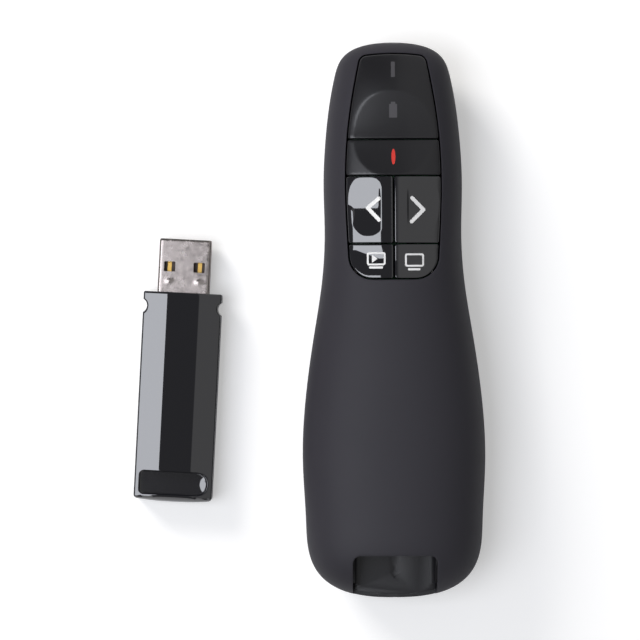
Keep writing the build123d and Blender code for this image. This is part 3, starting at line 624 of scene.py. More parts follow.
def bore_wall(side):
    """Wall of the laser's hole in one half of the case."""
    return band(bore_ring(side), bore_ring(side, WALL), closed=False)


def joint_face(side):
    """The flat edges on which one half of the case meets the other."""
    strips = []
    for edge in (-ACROSS_SCALE, ACROSS_SCALE):
        places = np.column_stack([np.full(len(SKIN_ROWS), edge), SKIN_ROWS])
        outer = seamed(places, skin_point(places, side))
        inner = skin_point(places, side, WALL)
        outer[:, 2] = inner[:, 2] = JOINT_Z
        points, faces = band(outer, inner, closed=False)
        middles = points[np.array(faces)].mean(1)
        gone = (middles[:, 1] > NOSE_Y) & (np.abs(middles[:, 0]) < BORE_RADIUS)
        if side > 0:
            gone |= (middles[:, 1] < MOUTH_FRONT) & (np.abs(middles[:, 0]) < MOUTH_HALF)
        strips.append((points, np.array(faces)[~gone]))
    return strips


def upper_skin(inset):
    """Outer skin or inner face of the upper shell with its openings."""
    edge = grown(keypad_opening, RIM) if inset == 0 else keypad_opening
    cut = held_on_case(grown(mouth, RIM) if inset == 0 else mouth, inset)
    cut = cut[np.concatenate([[True], np.linalg.norm(np.diff(cut, axis=0), axis=1) > 1e-4])]

    def dropped(points):
        plan = points[:, :2]
        gone = inside(edge, plan) | inside(cut, plan)
        behind = (np.abs(plan[:, 0]) < MOUTH_HALF) & (plan[:, 1] < MOUTH_FRONT - 5)
        return gone | behind | bored(points)

    chains = [on_skin(edge, 1, inset), on_skin(cut, 1, inset), bore_chain(1, inset)]
    return skin(1, inset, chains, dropped)


upper_patches = [upper_skin(0.0), upper_skin(WALL), *joint_face(1), bore_wall(1)]
upper_patches += opening_rim(keypad_opening)
upper_patches += opening_rim(mouth, held=True)
piece("upper_shell_skin", upper_patches, SOFT_TOUCH, "case", ["top_shell"])


# ---------------------------------------------------------------- keypad
# Five moving caps and one fixed indicator panel, moulded in black ABS and polished. They follow
# the crown, with a running gap round each. A thumb scoop crosses the panel and the laser key, and
# the two page keys have a rounded finger dish. White signs are printed on the caps.
ROW_SPLITS = (41.0, 32.7, 17.3)  # panel / laser key / page keys / small keys
KEY_CORNER = 0.5
KEY_EDGE = 0.3  # rounding of each cap's upper edge
KEY_DEPTH = 2.7
SCOOP_Y = 42.5
SCOOP_DEPTH = 1.05
SCOOP_ALONG = 47.7
SCOOP_ACROSS = 150.0
DISH_PLACE = (6.15, 25.9)
DISH_SIZE = (6.5, 13.8)
DISH_CORNERS = (1.6, 3.0)  # at the rear and at the front
DISH_DEPTH = 0.5
DISH_WALL = 0.55  # width of the slope at the dish's sides
DISH_OPEN = {-1: 1.2, 1: 12.0}  # where its outer side starts to open to the key's edge
DISH_OPENING = (2.0, 1.6)  # how soon it is open and how far
CORNER_SUNK = 0.06  # how far the rear corners of the panel and the laser key turn down
HOLLOW_FROM = 10.0  # the small keys sink slowly from here to a slanting valley line
HOLLOW_DEPTH = 0.24
VALLEY = (16.1, 0.38, 8.6)  # its place at the outer side, its slant and where it starts


def soft_min(a, b, width):
    """The lower of two heights, with the crease between them eased over about a width."""
    return (a + b - np.sqrt((a - b) ** 2 + width**2)) / 2


def crown_terms(plan):
    """Terms of one smooth polynomial over the keypad: even powers across, all powers along."""
    across, along = (plan[:, 0] / 11) ** 2, (plan[:, 1] - 35) / 26
    return np.stack([across**i * along**j for i in range(4) for j in range(12)], 1)


# Fitted to the crown, so that the polished caps reflect without ripples.
keypad_grid = np.stack(np.meshgrid(np.linspace(0, 1, 60), np.linspace(9, 61, 200)), -1).reshape(-1, 2)
keypad_grid[:, 0] *= [
    island_half(min(max(y, KEYPAD_REAR), KEYPAD_FRONT)) + 0.4 for y in keypad_grid[:, 1]
]
CROWN_FIT = np.linalg.lstsq(crown_terms(keypad_grid), crown_height(keypad_grid), rcond=None)[0]


def key_crown(plan):
    """Height of the crown over plan points of the keypad."""
    return crown_terms(plan) @ CROWN_FIT


def crown_slopes(x, y):
    """The crown's height and its slopes across and along at one plan point."""
    probe = np.array([(x, y), (x + 0.5, y), (x - 0.5, y), (x, y + 0.5), (x, y - 0.5)])
    here, right, left, ahead, behind = key_crown(probe)
    return here, right - left, ahead - behind


def scooped(plan):
    """Crown height with the long thumb scoop in it."""
    height, _, slope = crown_slopes(0, SCOOP_Y)
    reach = plan[:, 1] - SCOOP_Y
    hollow = height + slope * reach - SCOOP_DEPTH + reach**2 / (2 * SCOOP_ALONG)
    hollow -= plan[:, 0] ** 2 / (2 * SCOOP_ACROSS)
    return soft_min(key_crown(plan), hollow, 0.03)


def dished(side):
    """Crown height with the finger dish of one page key, as a function of plan points."""
    x, y = side * DISH_PLACE[0], DISH_PLACE[1]
    height, slope_x, slope_y = crown_slopes(x, y)
    half = np.array(DISH_SIZE) / 2
    radius = half[1] ** 2 / (2 * DISH_DEPTH)

    def top(plan):
        corner = np.where(plan[:, 1] > y, DISH_CORNERS[1], DISH_CORNERS[0])
        away = np.abs(plan - (x, y)) - (half - corner[:, None])
        blend = np.clip((plan[:, 1] - y + DISH_OPEN[side]) / DISH_OPENING[0], 0, 1)
        outer = side * (plan[:, 0] - x) > 0
        away[:, 0] -= np.where(outer, DISH_OPENING[1] * blend * blend * (3 - 2 * blend), 0)
        edge = np.linalg.norm(np.maximum(away, 0), axis=1) + np.minimum(away.max(1), 0) - corner
        share = np.clip(-edge / DISH_WALL, 0, 1)
        share = share * share * (3 - 2 * share)
        reach = plan - (x, y)
        hollow = height + reach @ (slope_x, slope_y) - DISH_DEPTH + reach[:, 1] ** 2 / (2 * radius)
        crown = key_crown(plan)
        return crown - share * np.maximum(crown - hollow, 0)

    return top


def scooped_down(y0):
    """The scooped crown with its two rear corners, at a station, turned down a little."""

    def top(plan):
        near = (island_half(y0) - np.abs(plan[:, 0])) / 1.7 + (plan[:, 1] - y0) / 1.4
        return scooped(plan) - CORNER_SUNK * np.clip(1 - near, 0, 1)

    return top


def hollowed(plan):
    """Crown height over the small keys, which are sunk a little towards a slanting valley."""
    start, slant, outer = VALLEY
    valley = start - slant * np.clip(outer - np.abs(plan[:, 0]), 0, 6.6)
    end = ROW_SPLITS[2] - GAP / 2
    falling = (plan[:, 1] - HOLLOW_FROM) / (valley - HOLLOW_FROM)
    rising = (end - plan[:, 1]) / (end - valley)
    return key_crown(plan) - HOLLOW_DEPTH * np.maximum(soft_min(falling, rising, 0.1), 0)


def cap(name, outline, top, material, body, node, spacing, holes=()):
    """A key cap: its top surface, a rounded edge all round, and a skirt down to its depth."""

    def bottom(plan):
        return top(plan) - KEY_DEPTH

    rings = edge_rings(outline, top, KEY_EDGE, 5) + [raised(outline, bottom(outline))]
    patches = [lid(grown(outline, -KEY_EDGE), top, spacing, holes), *bands(rings)]
    patches.append(lid(outline, bottom, 3.0, holes))
    patches += [band(raised(hole, top(hole)), raised(hole, bottom(hole))) for hole in holes]
    piece(name, patches, material, body, [node])


LACQUER = {"Coat_Weight": 1.0, "Coat_Roughness": 0.02, "Coat_IOR": 1.7}
PANEL_GLOSS = finish(
    "panel_gloss", (0.0085, 0.0083, 0.0102), 0.28, 0.2, 0.04, Coat_Weight=0.2, Coat_Roughness=0.06
)
KEY_GLOSS = finish("key_gloss", (0.003, 0.003, 0.0055), 0.035, 0.2, 0.02, **LACQUER)
slit = GAP / 2
panel_rear, laser_front = ROW_SPLITS[0] + slit, ROW_SPLITS[0] - slit
laser_rear, page_front = ROW_SPLITS[1] + slit, ROW_SPLITS[1] - slit
page_rear, small_front = ROW_SPLITS[2] + slit, ROW_SPLITS[2] - slit
square = (KEY_CORNER,) * 4
radii = (*square[:2], nose_corner, nose_corner)
panel_outline = rounded_outline(keypad_cell(panel_rear, KEYPAD_FRONT, None, None, radii))
laser_outline = rounded_outline(keypad_cell(laser_rear, laser_front, None, None, square))
MARK_HALF = 0.45
MARK_LONG = 3.6
FRONT_MARK_Y = 56.9
REAR_MARK_Y = 47.7
LASER_MARK_Y = 37.0
mark_end = MARK_LONG / 2
front_mark = rounded_outline(
    [(-MARK_HALF, FRONT_MARK_Y - mark_end, 0.2), (MARK_HALF, FRONT_MARK_Y - mark_end, 0.2)]
    + [(MARK_HALF, FRONT_MARK_Y + mark_end, 0.2), (-MARK_HALF, FRONT_MARK_Y + mark_end, 0.2)],
    0.3,
)
rear_mark = rounded_outline(
    [(-0.9, REAR_MARK_Y - 1.8, 0.15), (0.9, REAR_MARK_Y - 1.8, 0.15), (0.9, REAR_MARK_Y + 1.3, 0.15)]
    + [(0.5, REAR_MARK_Y + 1.3, 0), (0.5, REAR_MARK_Y + 1.8, 0.1), (-0.5, REAR_MARK_Y + 1.8, 0.1)]
    + [(-0.5, REAR_MARK_Y + 1.3, 0), (-0.9, REAR_MARK_Y + 1.3, 0.15)],
    0.3,
)
turns = np.linspace(-math.pi / 2, math.pi / 2, 13)
laser_mark = np.array(
    [(MARK_HALF * math.cos(a), LASER_MARK_Y + mark_end * math.sin(a)) for a in turns]
    + [(-MARK_HALF * math.cos(a), LASER_MARK_Y + mark_end * math.sin(a)) for a in turns[-2:0:-1]]
)
marks = [front_mark, rear_mark]
top = scooped_down(panel_rear)
cap("panel_cap", panel_outline, top, PANEL_GLOSS, "case", "indicator_panel", 0.45, marks)
top = scooped_down(laser_rear)
cap("laser_cap", laser_outline, top, PANEL_GLOSS, "laser_key", "laser_button", 0.4, [laser_mark])
for name, side in (("back", -1), ("next", 1)):
    left, right = (None, -slit) if side < 0 else (slit, None)
    page_outline = rounded_outline(keypad_cell(page_rear, page_front, left, right, square), 0.24)
    cap(name + "_cap", page_outline, dished(side), KEY_GLOSS, name + "_key", name + "_button", 0.2)
for name, side in (("slideshow", -1), ("blank", 1)):
    left, right = (None, -slit) if side < 0 else (slit, None)
    radii = (deep_corner, *square[1:]) if side < 0 else (KEY_CORNER, deep_corner, *square[2:])
    small_outline = rounded_outline(keypad_cell(KEYPAD_REAR, small_front, left, right, radii), 0.24)
    cap(name + "_cap", small_outline, hollowed, KEY_GLOSS, name + "_key", name + "_button", 0.2)


def inlay(name, outlines, top, material, body, stands_for=(), proud=0.0, deep=0.3, holes=()):
    """Flat pieces let into a cap: each outline filled at or just above the surface, with a wall."""
    patches = []
    for outline in outlines:
        held = [hole for hole in holes if inside(outline, hole[:1])[0]]
        patches.append(lid(outline, lambda plan: top(plan) + proud, 0.35, held))
        for ring in (outline, *held):
            patches.append(band(raised(ring, top(ring) + proud), raised(ring, top(ring) - deep)))
        patches.append(lid(outline, lambda plan: top(plan) - deep, 0.8, held))
    piece(name, patches, material, body, stands_for)


LIGHT_GUIDE = finish("light_guide", (0.065, 0.063, 0.07), 0.3, drift=0.15)
RED_INLAY = finish("red_inlay", (0.62, 0.045, 0.035), 0.25, drift=0.15)
SIGN_WHITE = finish("sign_white", (0.8, 0.8, 0.8), 0.55, drift=0.06)
inlay("front_mark", [front_mark], scooped, LIGHT_GUIDE, "case", ["front_light_guide"])
inlay("rear_mark", [rear_mark], scooped, LIGHT_GUIDE, "case", ["rear_light_guide"])
inlay("laser_mark_fill", [laser_mark], scooped, RED_INLAY, "laser_key", ["laser_mark"])

CHEVRON_WIDTH = 0.84
LINE_WIDTH = 0.41


def stroke(points, width):
    """Outline of a line through points, of one width, with round ends and a round outer bend."""
    line = np.array(points, float)
    half = width / 2
    outline = []
    for run in (line, line[::-1]):
        for i in range(len(run) - 1):
            way = unit(run[i + 1] - run[i])
            side = np.array((way[1], -way[0]))
            if i == 0:
                outline.append(run[0] + side * half)
            at_end = i + 2 == len(run)
            ahead = -way if at_end else unit(run[i + 2] - run[i + 1])
            bend = math.atan2(way[0] * ahead[1] - way[1] * ahead[0], way @ ahead)
            if bend < 0 and not at_end:
                middle = unit(side + np.array((ahead[1], -ahead[0])))
                outline.append(run[i + 1] + middle * half / max(middle @ side, 0.3))
                continue
            turn = math.pi if at_end else bend
            for k in range(10 if at_end else 11):
                cos, sin = math.cos(turn * k / 10), math.sin(turn * k / 10)
                spoke = np.array((cos * side[0] - sin * side[1], sin * side[0] + cos * side[1]))
                outline.append(run[i + 1] + half * spoke)
    return np.array(outline)


def bar(x0, x1, y0, y1, radius):
    """A rectangle with rounded corners."""
    return rounded_outline([(x0, y0, radius), (x1, y0, radius), (x1, y1, radius), (x0, y1, radius)], 0.5)


def screen_sign(x0, x1, y0, y1):
    """Outer and inner outline of the small screen, as a frame of one line width."""
    frame = bar(x0, x1, y0, y1, 0.5)
    pane = bar(x0 + LINE_WIDTH, x1 - LINE_WIDTH, y0 + LINE_WIDTH, y1 - LINE_WIDTH, 0.2)
    return frame, pane


PRINT = {"proud": 0.012, "deep": 0.05}
back_sign = stroke([(-3.37, 27.55), (-5.9, 25.42), (-3.37, 22.69)], CHEVRON_WIDTH)
inlay("back_sign", [back_sign], dished(-1), SIGN_WHITE, "back_key", **PRINT)
next_sign = stroke([(4.15, 27.63), (6.76, 24.98), (4.03, 22.27)], CHEVRON_WIDTH)
inlay("next_sign", [next_sign], dished(1), SIGN_WHITE, "next_key", **PRINT)
play_frame, play_pane = screen_sign(-6.14, -1.92, 12.38, 15.36)
play_signs = [play_frame, bar(-5.67, -2.51, 11.66, 12.16, 0.2)]
inlay("slideshow_sign", play_signs, hollowed, SIGN_WHITE, "slideshow_key", holes=[play_pane], **PRINT)
play_arrow = rounded_outline([(-5.01, 12.95, 0.12), (-3.7, 13.88, 0.12), (-5.01, 14.8, 0.12)], 0.4)
inlay("slideshow_arrow", [play_arrow], hollowed, SIGN_WHITE, "slideshow_key", **PRINT)
blank_frame, blank_pane = screen_sign(2.46, 6.78, 12.05, 15.05)
blank_signs = [blank_frame, bar(3.11, 5.93, 11.21, 11.71, 0.2)]
inlay("blank_sign", blank_signs, hollowed, SIGN_WHITE, "blank_key", holes=[blank_pane], **PRINT)


# ---------------------------------------------------------------- lower shell
# The lower half of the case, moulded in black ABS with a fine eroded grain. Its sole is flat. It
# has the opening for the battery door, the power knob's slot and two deep screw holes.
DOOR_HALF = 12.4
DOOR_FRONT = -2.15
DOOR_TOP = 10.2
DOOR_GAP = 0.15
EDGE = 0.13  # rounding of the edges that meet at the door's gap
SLOT = [(-1.6, 11.0, 0.5), (1.6, 11.0, 0.5), (1.6, 17.0, 0.5), (-1.6, 17.0, 0.5)]
SCREW_PLACE = (13.1, 34.0)
SCREW_BORE = 1.7
SCREW_SEAT = 6.0  # where a screw's head bears
SCREW_FACE = 5.15  # and its face, sunk in its hole
HOLE_TOP = 7.0  # above this the sole's holes don't reach


def under_skin(plan, inset=0.0):
    """Points on the lower skin over plan points."""
    return raised(plan, flat_sole(JOINT_Z - skin_rise(plan, -1, inset), inset))


def door_edge(half, front, top, inset=0.0):
    """Outline of the battery door on the lower skin: up its right side, round the tail and back."""
    corner = end_reach(np.array([half]), np.array([top]), -1, -1, inset)[0]
    side = under_skin(np.column_stack([np.full(90, half), np.linspace(front, corner, 90)]), inset)
    across, level = np.linspace(half, -half, 62)[1:-1], np.full(60, top)
    tail = np.column_stack([across, end_reach(across, level, -1, -1, inset), level])
    across = np.linspace(-half, half, 42)[1:-1]
    lip = under_skin(np.column_stack([across, np.full(40, front)]), inset)
    return np.vstack([side, tail, side[::-1] * (-1, 1, 1), lip])


def circle(x, y, radius, steps=40):
    """A round outline."""
    angles = np.linspace(0, 2 * math.pi, steps, endpoint=False)
    return np.column_stack([x + radius * np.cos(angles), y + radius * np.sin(angles)])


slot = rounded_outline(SLOT, 0.3)
screw_holes = [circle(side * SCREW_PLACE[0], SCREW_PLACE[1], SCREW_BORE) for side in (-1, 1)]


def lower_skin(inset):
    """Outer skin or inner face of the lower shell with its openings."""
    ease = EDGE if inset == 0 else 0.0
    half, front, top = (size + DOOR_GAP + ease for size in (DOOR_HALF, DOOR_FRONT, DOOR_TOP))
    holes = [grown(outline, ease) for outline in (slot, *screw_holes)]
    chains = [on_skin(door_edge(half, front, top, inset), -1, inset), bore_chain(-1, inset)]
    chains += [on_skin(hole, -1, inset) for hole in holes]

    def dropped(points):
        plan = points[:, :2]
        gone = (np.abs(plan[:, 0]) < half) & (plan[:, 1] < front) & (points[:, 2] < top)
        gone |= bored(points)
        for hole in holes:
            gone |= inside(hole, plan) & (points[:, 2] < HOLE_TOP)
        return gone

    return skin(-1, inset, chains, dropped)


def hole_wall(outline, top):
    """Rounded edge and wall of a hole in the sole, up to a level."""
    rings = [under_skin(plan) + (0, 0, drop) for plan, drop in rim_rings(outline, EDGE)]
    return bands(rings + [raised(outline, top)])


lower_patches = [lower_skin(0.0), lower_skin(WALL), *joint_face(-1), bore_wall(-1)]
wide, ahead, high = DOOR_HALF + DOOR_GAP, DOOR_FRONT + DOOR_GAP, DOOR_TOP + DOOR_GAP
rings = [door_edge(wide + EDGE, ahead + EDGE, high + EDGE)]
rings += [door_edge(wide, ahead, high, inset) for inset in (EDGE, WALL)]
lower_patches += bands(rings) + hole_wall(slot, WALL)
for outline in screw_holes:
    lower_patches += hole_wall(outline, SCREW_SEAT)
    lower_patches.append(lid(outline, SCREW_SEAT, 0.8))
ERODED_BLACK = finish("eroded_black", (0.0195, 0.0195, 0.0215), 0.5, 0.15, 0.12, grain=2200.0, depth=0.035)
piece("lower_shell_skin", lower_patches, ERODED_BLACK, "case", ["bottom_shell"])

# ---------------------------------------------------------------- battery door
# The sliding battery door: the same grained ABS, its outside continuing the sole and the tail. Five
# thumb grooves help to push it back; two rails and a sprung latch at its front hold it.
GRIP_FRONT = -12.0
GRIP_PITCH = 1.8
GRIP_ROWS = 5
GRIP_HALF = 5.0  # half length of the first groove
GRIP_TAPER = 0.5  # and how much less each next one has
GRIP_DEPTH = 0.5
RAIL_ENDS = (-53.9, -4.3)
RAIL_LEVELS = (2.45, 3.55)


def brick(low, high, ease=0.12):
    """A box with chamfered edges."""
    work = bmesh.new()
    for axis in range(3):
        for corner in range(8):
            place = [high[i] - ease if corner >> i & 1 else low[i] + ease for i in range(3)]
            place[axis] = high[axis] if corner >> axis & 1 else low[axis]
            work.verts.new(place)
    bmesh.ops.convex_hull(work, input=work.verts)
    bmesh.ops.dissolve_limit(work, angle_limit=0.02, verts=work.verts, edges=work.edges)
    work.verts.index_update()
    points = np.array([vert.co[:] for vert in work.verts])
    faces = [[vert.index for vert in face.verts] for face in work.faces]
    work.free()
    return points, faces


def grip_groove(row):
    """Outline of one thumb groove in plan, shorter towards the tail."""
    y, half, deep = GRIP_FRONT - GRIP_PITCH * row, GRIP_HALF - GRIP_TAPER * row, GRIP_PITCH / 4 - 0.02
    corners = [(-half, y - deep), (half, y - deep), (half, y + deep), (-half, y + deep)]
    return rounded_outline([(*corner, deep - 0.02) for corner in corners], 0.5)


grooves = [grip_groove(row) for row in range(GRIP_ROWS)]
groove_edges = [grown(outline, EDGE / 2) for outline in grooves]
door_outside = door_edge(DOOR_HALF - EDGE, DOOR_FRONT - EDGE, DOOR_TOP - EDGE)
door_inside = door_edge(DOOR_HALF, DOOR_FRONT, DOOR_TOP, WALL)


def off_door(ease):
    """A test for the points of the lower skin that aren't the door's."""
    return lambda points: (
        (np.abs(points[:, 0]) > DOOR_HALF - ease)
        | (points[:, 1] > DOOR_FRONT - ease)
        | (points[:, 2] > DOOR_TOP - ease)
    )


def off_grooved_door(points):
    """The same, and the places of the grooves."""
    gone = off_door(EDGE)(points)
    for outline in groove_edges:
        gone |= inside(outline, points[:, :2])
    return gone


door_chains = [on_skin(door_outside, -1), *[on_skin(outline, -1) for outline in groove_edges]]
door_patches = [skin(-1, 0.0, door_chains, off_grooved_door)]
door_patches.append(skin(-1, WALL, [on_skin(door_inside, -1, WALL)], off_door(0.0)))
door_patches += bands([door_outside, door_edge(DOOR_HALF, DOOR_FRONT, DOOR_TOP, EDGE), door_inside])
for outline in grooves:
    rings = [under_skin(grown(outline, EDGE / 2)), under_skin(outline) + (0, 0, EDGE / 2)]
    rings.append(raised(outline, GRIP_DEPTH / 2))
    rings.append(raised(grown(outline, -0.12), GRIP_DEPTH * 0.85))
    rings.append(raised(grown(outline, -0.26), GRIP_DEPTH))
    door_patches += bands(rings)
    door_patches.append(lid(grown(outline, -0.26), GRIP_DEPTH, 0.6))
piece("door_skin", door_patches, ERODED_BLACK, "door", ["battery_door"])
# the latch at the door's front, and a rail along each side
rails = [brick((-2.2, -4.2, WALL - 0.1), (2.2, -2.2, 3.6)), brick((-2.2, -2.4, 2.1), (2.2, -0.65, 3.6))]
for side in (-1, 1):
    x = sorted((side * (DOOR_HALF - 1), side * (DOOR_HALF + 0.78)))
    rails.append(brick(*zip(x, RAIL_ENDS, RAIL_LEVELS)))
piece("door_rails", rails, ERODED_BLACK, "door")

# ---------------------------------------------------------------- receiver housing
# Two halves of polished black ABS, glued along a joint at mid-height. The roof is almost flat, and
# rounds down at the tail behind a sunk thumb rest; two notches at the front catch in the bay.
RECEIVER_PLACE = (-49.7, -17.6)
RECEIVER_TURN = math.radians(-3.2)
HOUSING_HALF = 9.05
HOUSING_FRONT = 24.2
HOUSING_HIGH = 7.8
ROOF_RADIUS = 300.0
FACET_X = 3.85  # where the roof's flat side facets begin
FACET_SLOPE = 0.09
ROOF_EDGE = 0.5
KEEL_EDGE = 1.2
KEEL_SHARE = 0.7  # how far the keel's rounding reaches inwards, as a share of its height
HOUSING_JOINT = 3.9
HOUSING_SEAM = 0.07
SEAM_INSET = 0.2
TAIL_SAG = 0.6
TAIL_RADIUS = 4.5
TAIL_CENTRE = 4.5  # height of the middle of the tail's rounding
NOTCH_Y = 20.8
NOTCH_RADIUS = 1.7
NOTCH_DEPTH = 0.9
REST_Y = -19.8
REST_SIZE = (15.6, 5.4)
REST_SUNK = 1.3
REST_EDGE = 0.15
REST_FLOOR_EDGE = 0.3
# where the floor sweeps up at its right end: middle, reach and radius
REST_SWEEP = (8.6, 2.6, 4.0)


def in_place(points):
    """From the receiver's own frame to where it lies."""
    cos, sin = math.cos(RECEIVER_TURN), math.sin(RECEIVER_TURN)
    x = RECEIVER_PLACE[0] + cos * points[:, 0] - sin * points[:, 1]
    y = RECEIVER_PLACE[1] + sin * points[:, 0] + cos * points[:, 1]
    return np.column_stack([x, y, points[:, 2:]])


def placed(patches):
    """The patches with the receiver's place and turn."""
    return [(in_place(points), faces) for points, faces in patches]


def notch(side):
    """Corners along one round notch, from the rear to the front on the right, or back on the left."""
    centre = HOUSING_HALF + NOTCH_RADIUS - NOTCH_DEPTH
    open_angle = math.acos((NOTCH_RADIUS - NOTCH_DEPTH) / NOTCH_RADIUS)
    angles = np.linspace(-open_angle, open_angle, 13) * side
    return [
        (side * (centre - NOTCH_RADIUS * math.cos(a)), NOTCH_Y + NOTCH_RADIUS * math.sin(a), 0)
        for a in angles
    ]


def housing_outline():
    """Plan outline of the housing."""
    half, front = HOUSING_HALF, HOUSING_FRONT
    tail = [(x, -front + TAIL_SAG * (x / half) ** 2, 0) for x in np.arange(-7.5, 7.6, 1.5)]
    corners = [(-half, TAIL_SAG - front, 1.0), *tail, (half, TAIL_SAG - front, 1.0), *notch(1)]
    corners += [(half, front, 0.4), (-half, front, 0.4), *notch(-1)]
    return rounded_outline(corners, 0.5)


def roof(plan):
    """Height of the roof over plan points: a flat crown, side facets, and a rounded tail."""
    middle = np.minimum(np.abs(plan[:, 0]), FACET_X)
    crown = HOUSING_HIGH - middle**2 / (2 * ROOF_RADIUS) - FACET_SLOPE * (np.abs(plan[:, 0]) - middle)
    behind = np.clip(TAIL_RADIUS - HOUSING_FRONT - plan[:, 1], 0, TAIL_RADIUS)
    fall = TAIL_CENTRE + np.sqrt(np.maximum(TAIL_RADIUS**2 - behind**2, 0))
    return soft_min(crown, fall, 0.12)


housing = housing_outline()
rest_end, rest_half = REST_SIZE[0] / 2, REST_SIZE[1] / 2
rest = rounded_outline(
    [(-rest_end, REST_Y - rest_half, 1.0), (rest_end, REST_Y - rest_half, rest_half - 0.01)]
    + [(rest_end, REST_Y + rest_half, rest_half - 0.01), (-rest_end, REST_Y + rest_half, 1.0)],
    0.4,
)


def rest_level(plan):
    """Height of the rest's floor over plan points."""
    middle, reach, radius = REST_SWEEP
    away = np.linalg.norm(plan - (middle, REST_Y), axis=1)
    return HOUSING_HIGH - REST_SUNK + np.maximum(reach - away, 0) ** 2 / (2 * radius)


joint_ring = raised(grown(housing, -SEAM_INSET), HOUSING_JOINT)
joint_lid = lid(grown(housing, -SEAM_INSET), HOUSING_JOINT, 3.0)
upper_housing = [lid(grown(housing, -ROOF_EDGE), roof, 0.5, [grown(rest, REST_EDGE)])]
rings = edge_rings(housing, roof, ROOF_EDGE, 6)
upper_housing += bands(rings + [raised(housing, HOUSING_JOINT + HOUSING_SEAM), joint_ring])
upper_housing.append(joint_lid)
rings = [raised(plan, roof(plan) - drop) for plan, drop in rim_rings(rest, REST_EDGE)]
for angle in np.linspace(0, math.pi / 2, 6):
    plan = grown(rest, -REST_FLOOR_EDGE * (1 - math.cos(angle)))
    rings.append(raised(plan, rest_level(plan) + REST_FLOOR_EDGE * (1 - math.sin(angle))))
upper_housing += bands(rings)
rest_floor = [lid(grown(rest, -REST_FLOOR_EDGE), rest_level, 0.3)]

rings = [joint_ring, raised(housing, HOUSING_JOINT - HOUSING_SEAM)]
for angle in np.linspace(0, math.pi / 2, 6):
    plan = grown(housing, -KEEL_EDGE * (1 - math.cos(angle)) * KEEL_SHARE)
    rings.append(raised(plan, KEEL_EDGE * (1 - math.sin(angle))))
lower_housing = bands(rings) + [lid(grown(housing, -KEEL_EDGE * KEEL_SHARE), 0.0, 3.0), joint_lid]

HOUSING_GLOSS = finish("housing_gloss", (0.0028, 0.0028, 0.0055), 0.03, 0.2, 0.015, **LACQUER)
REST_GLOSS = finish("rest_gloss", (0.005, 0.005, 0.0075), 0.1, 0.2, 0.03, **LACQUER)
piece("receiver_rest", placed(rest_floor), REST_GLOSS, "receiver", closed=False)
piece("receiver_upper", placed(upper_housing), HOUSING_GLOSS, "receiver", ["receiver_upper_case"])
piece("receiver_lower", placed(lower_housing), HOUSING_GLOSS, "receiver", ["receiver_lower_case"])

# ---------------------------------------------------------------- USB plug
# The receiver's type A plug: a folded sleeve of nickelled steel, 0.3 mm thick, with two windows and
# two pressed dimples in each wide face, round a black tongue that carries four gilded contacts.
PLUG_TIP = 36.5
PLUG_REAR = 18.3
PLUG_WIDE = 12.0
PLUG_HIGH = 4.5
PLUG_CORNER = 0.6
SHEET = 0.3
WINDOW_X = 3.4
WINDOW_Y = PLUG_TIP - 6.4
WINDOW = (2.6, 2.3)
DIMPLE_Y = WINDOW_Y - 3.3
DIMPLE_SIZE = (0.55, 0.4)
DIMPLE_DEPTH = 0.16
MOUTH_DRAWN = 0.6  # over this length the sleeve's mouth is drawn in
MOUTH_INWARDS = (0.16, 0.12)  # by this much across and in height
TONGUE_HALF = 5.55
TONGUE_THICK = 1.85
PAD_HALF = 0.5
PAD_THICK = 0.14
half_wide, half_high = PLUG_WIDE / 2, PLUG_HIGH / 2


def sleeve_section(inset):
    """Cross-section of the sleeve, closed on itself, exact at the middle of its wide faces."""
    corners = [(0, -half_high, 0), (half_wide, -half_high, PLUG_CORNER)]
    corners += [(half_wide, half_high, PLUG_CORNER), (0, half_high, 0)]
    corners += [(-half_wide, half_high, PLUG_CORNER), (-half_wide, -half_high, PLUG_CORNER)]
    section = rounded_outline(corners, 0.45)
    if inset:
        section = grown(section, -inset)
    return np.vstack([section, section[:1]])


SLEEVE = sleeve_section(0.0)
SLEEVE_LENGTH = np.concatenate([[0], np.cumsum(np.linalg.norm(np.diff(SLEEVE, axis=0), axis=1))])
TOP_MIDDLE = SLEEVE_LENGTH[-1] / 2


def sleeve_point(places, inset):
    """Points on the sleeve from places (round, along); its mouth is drawn in a little."""
    section = sleeve_section(inset)
    x = np.interp(places[:, 0], SLEEVE_LENGTH, section[:, 0])
    z = np.interp(places[:, 0], SLEEVE_LENGTH, section[:, 1])
    near = np.clip((places[:, 1] - PLUG_TIP + MOUTH_DRAWN) / MOUTH_DRAWN, 0, 1) ** 2
    x -= np.sign(x) * MOUTH_INWARDS[0] * near
    z -= np.sign(z) * MOUTH_INWARDS[1] * near
    for spot in (-WINDOW_X, WINDOW_X):
        away = ((x - spot) / DIMPLE_SIZE[0]) ** 2 + ((places[:, 1] - DIMPLE_Y) / DIMPLE_SIZE[1]) ** 2
        z += np.sign(z) * DIMPLE_DEPTH * np.exp(-np.minimum(away, 30)) * (np.abs(z) > 1.5)
    return np.column_stack([x, places[:, 1], HOUSING_JOINT + z])


windows = []
for middle in (0.0, TOP_MIDDLE, SLEEVE_LENGTH[-1]):
    for x in (middle - WINDOW_X, middle + WINDOW_X):
        wide, long = WINDOW[0] / 2, WINDOW[1] / 2
        box = [(x - wide, WINDOW_Y - long, 0.22), (x + wide, WINDOW_Y - long, 0.22)]
        box += [(x + wide, WINDOW_Y + long, 0.22), (x - wide, WINDOW_Y + long, 0.22)]
        if 0 < x < SLEEVE_LENGTH[-1]:
            windows.append(rounded_outline(box, 0.4))


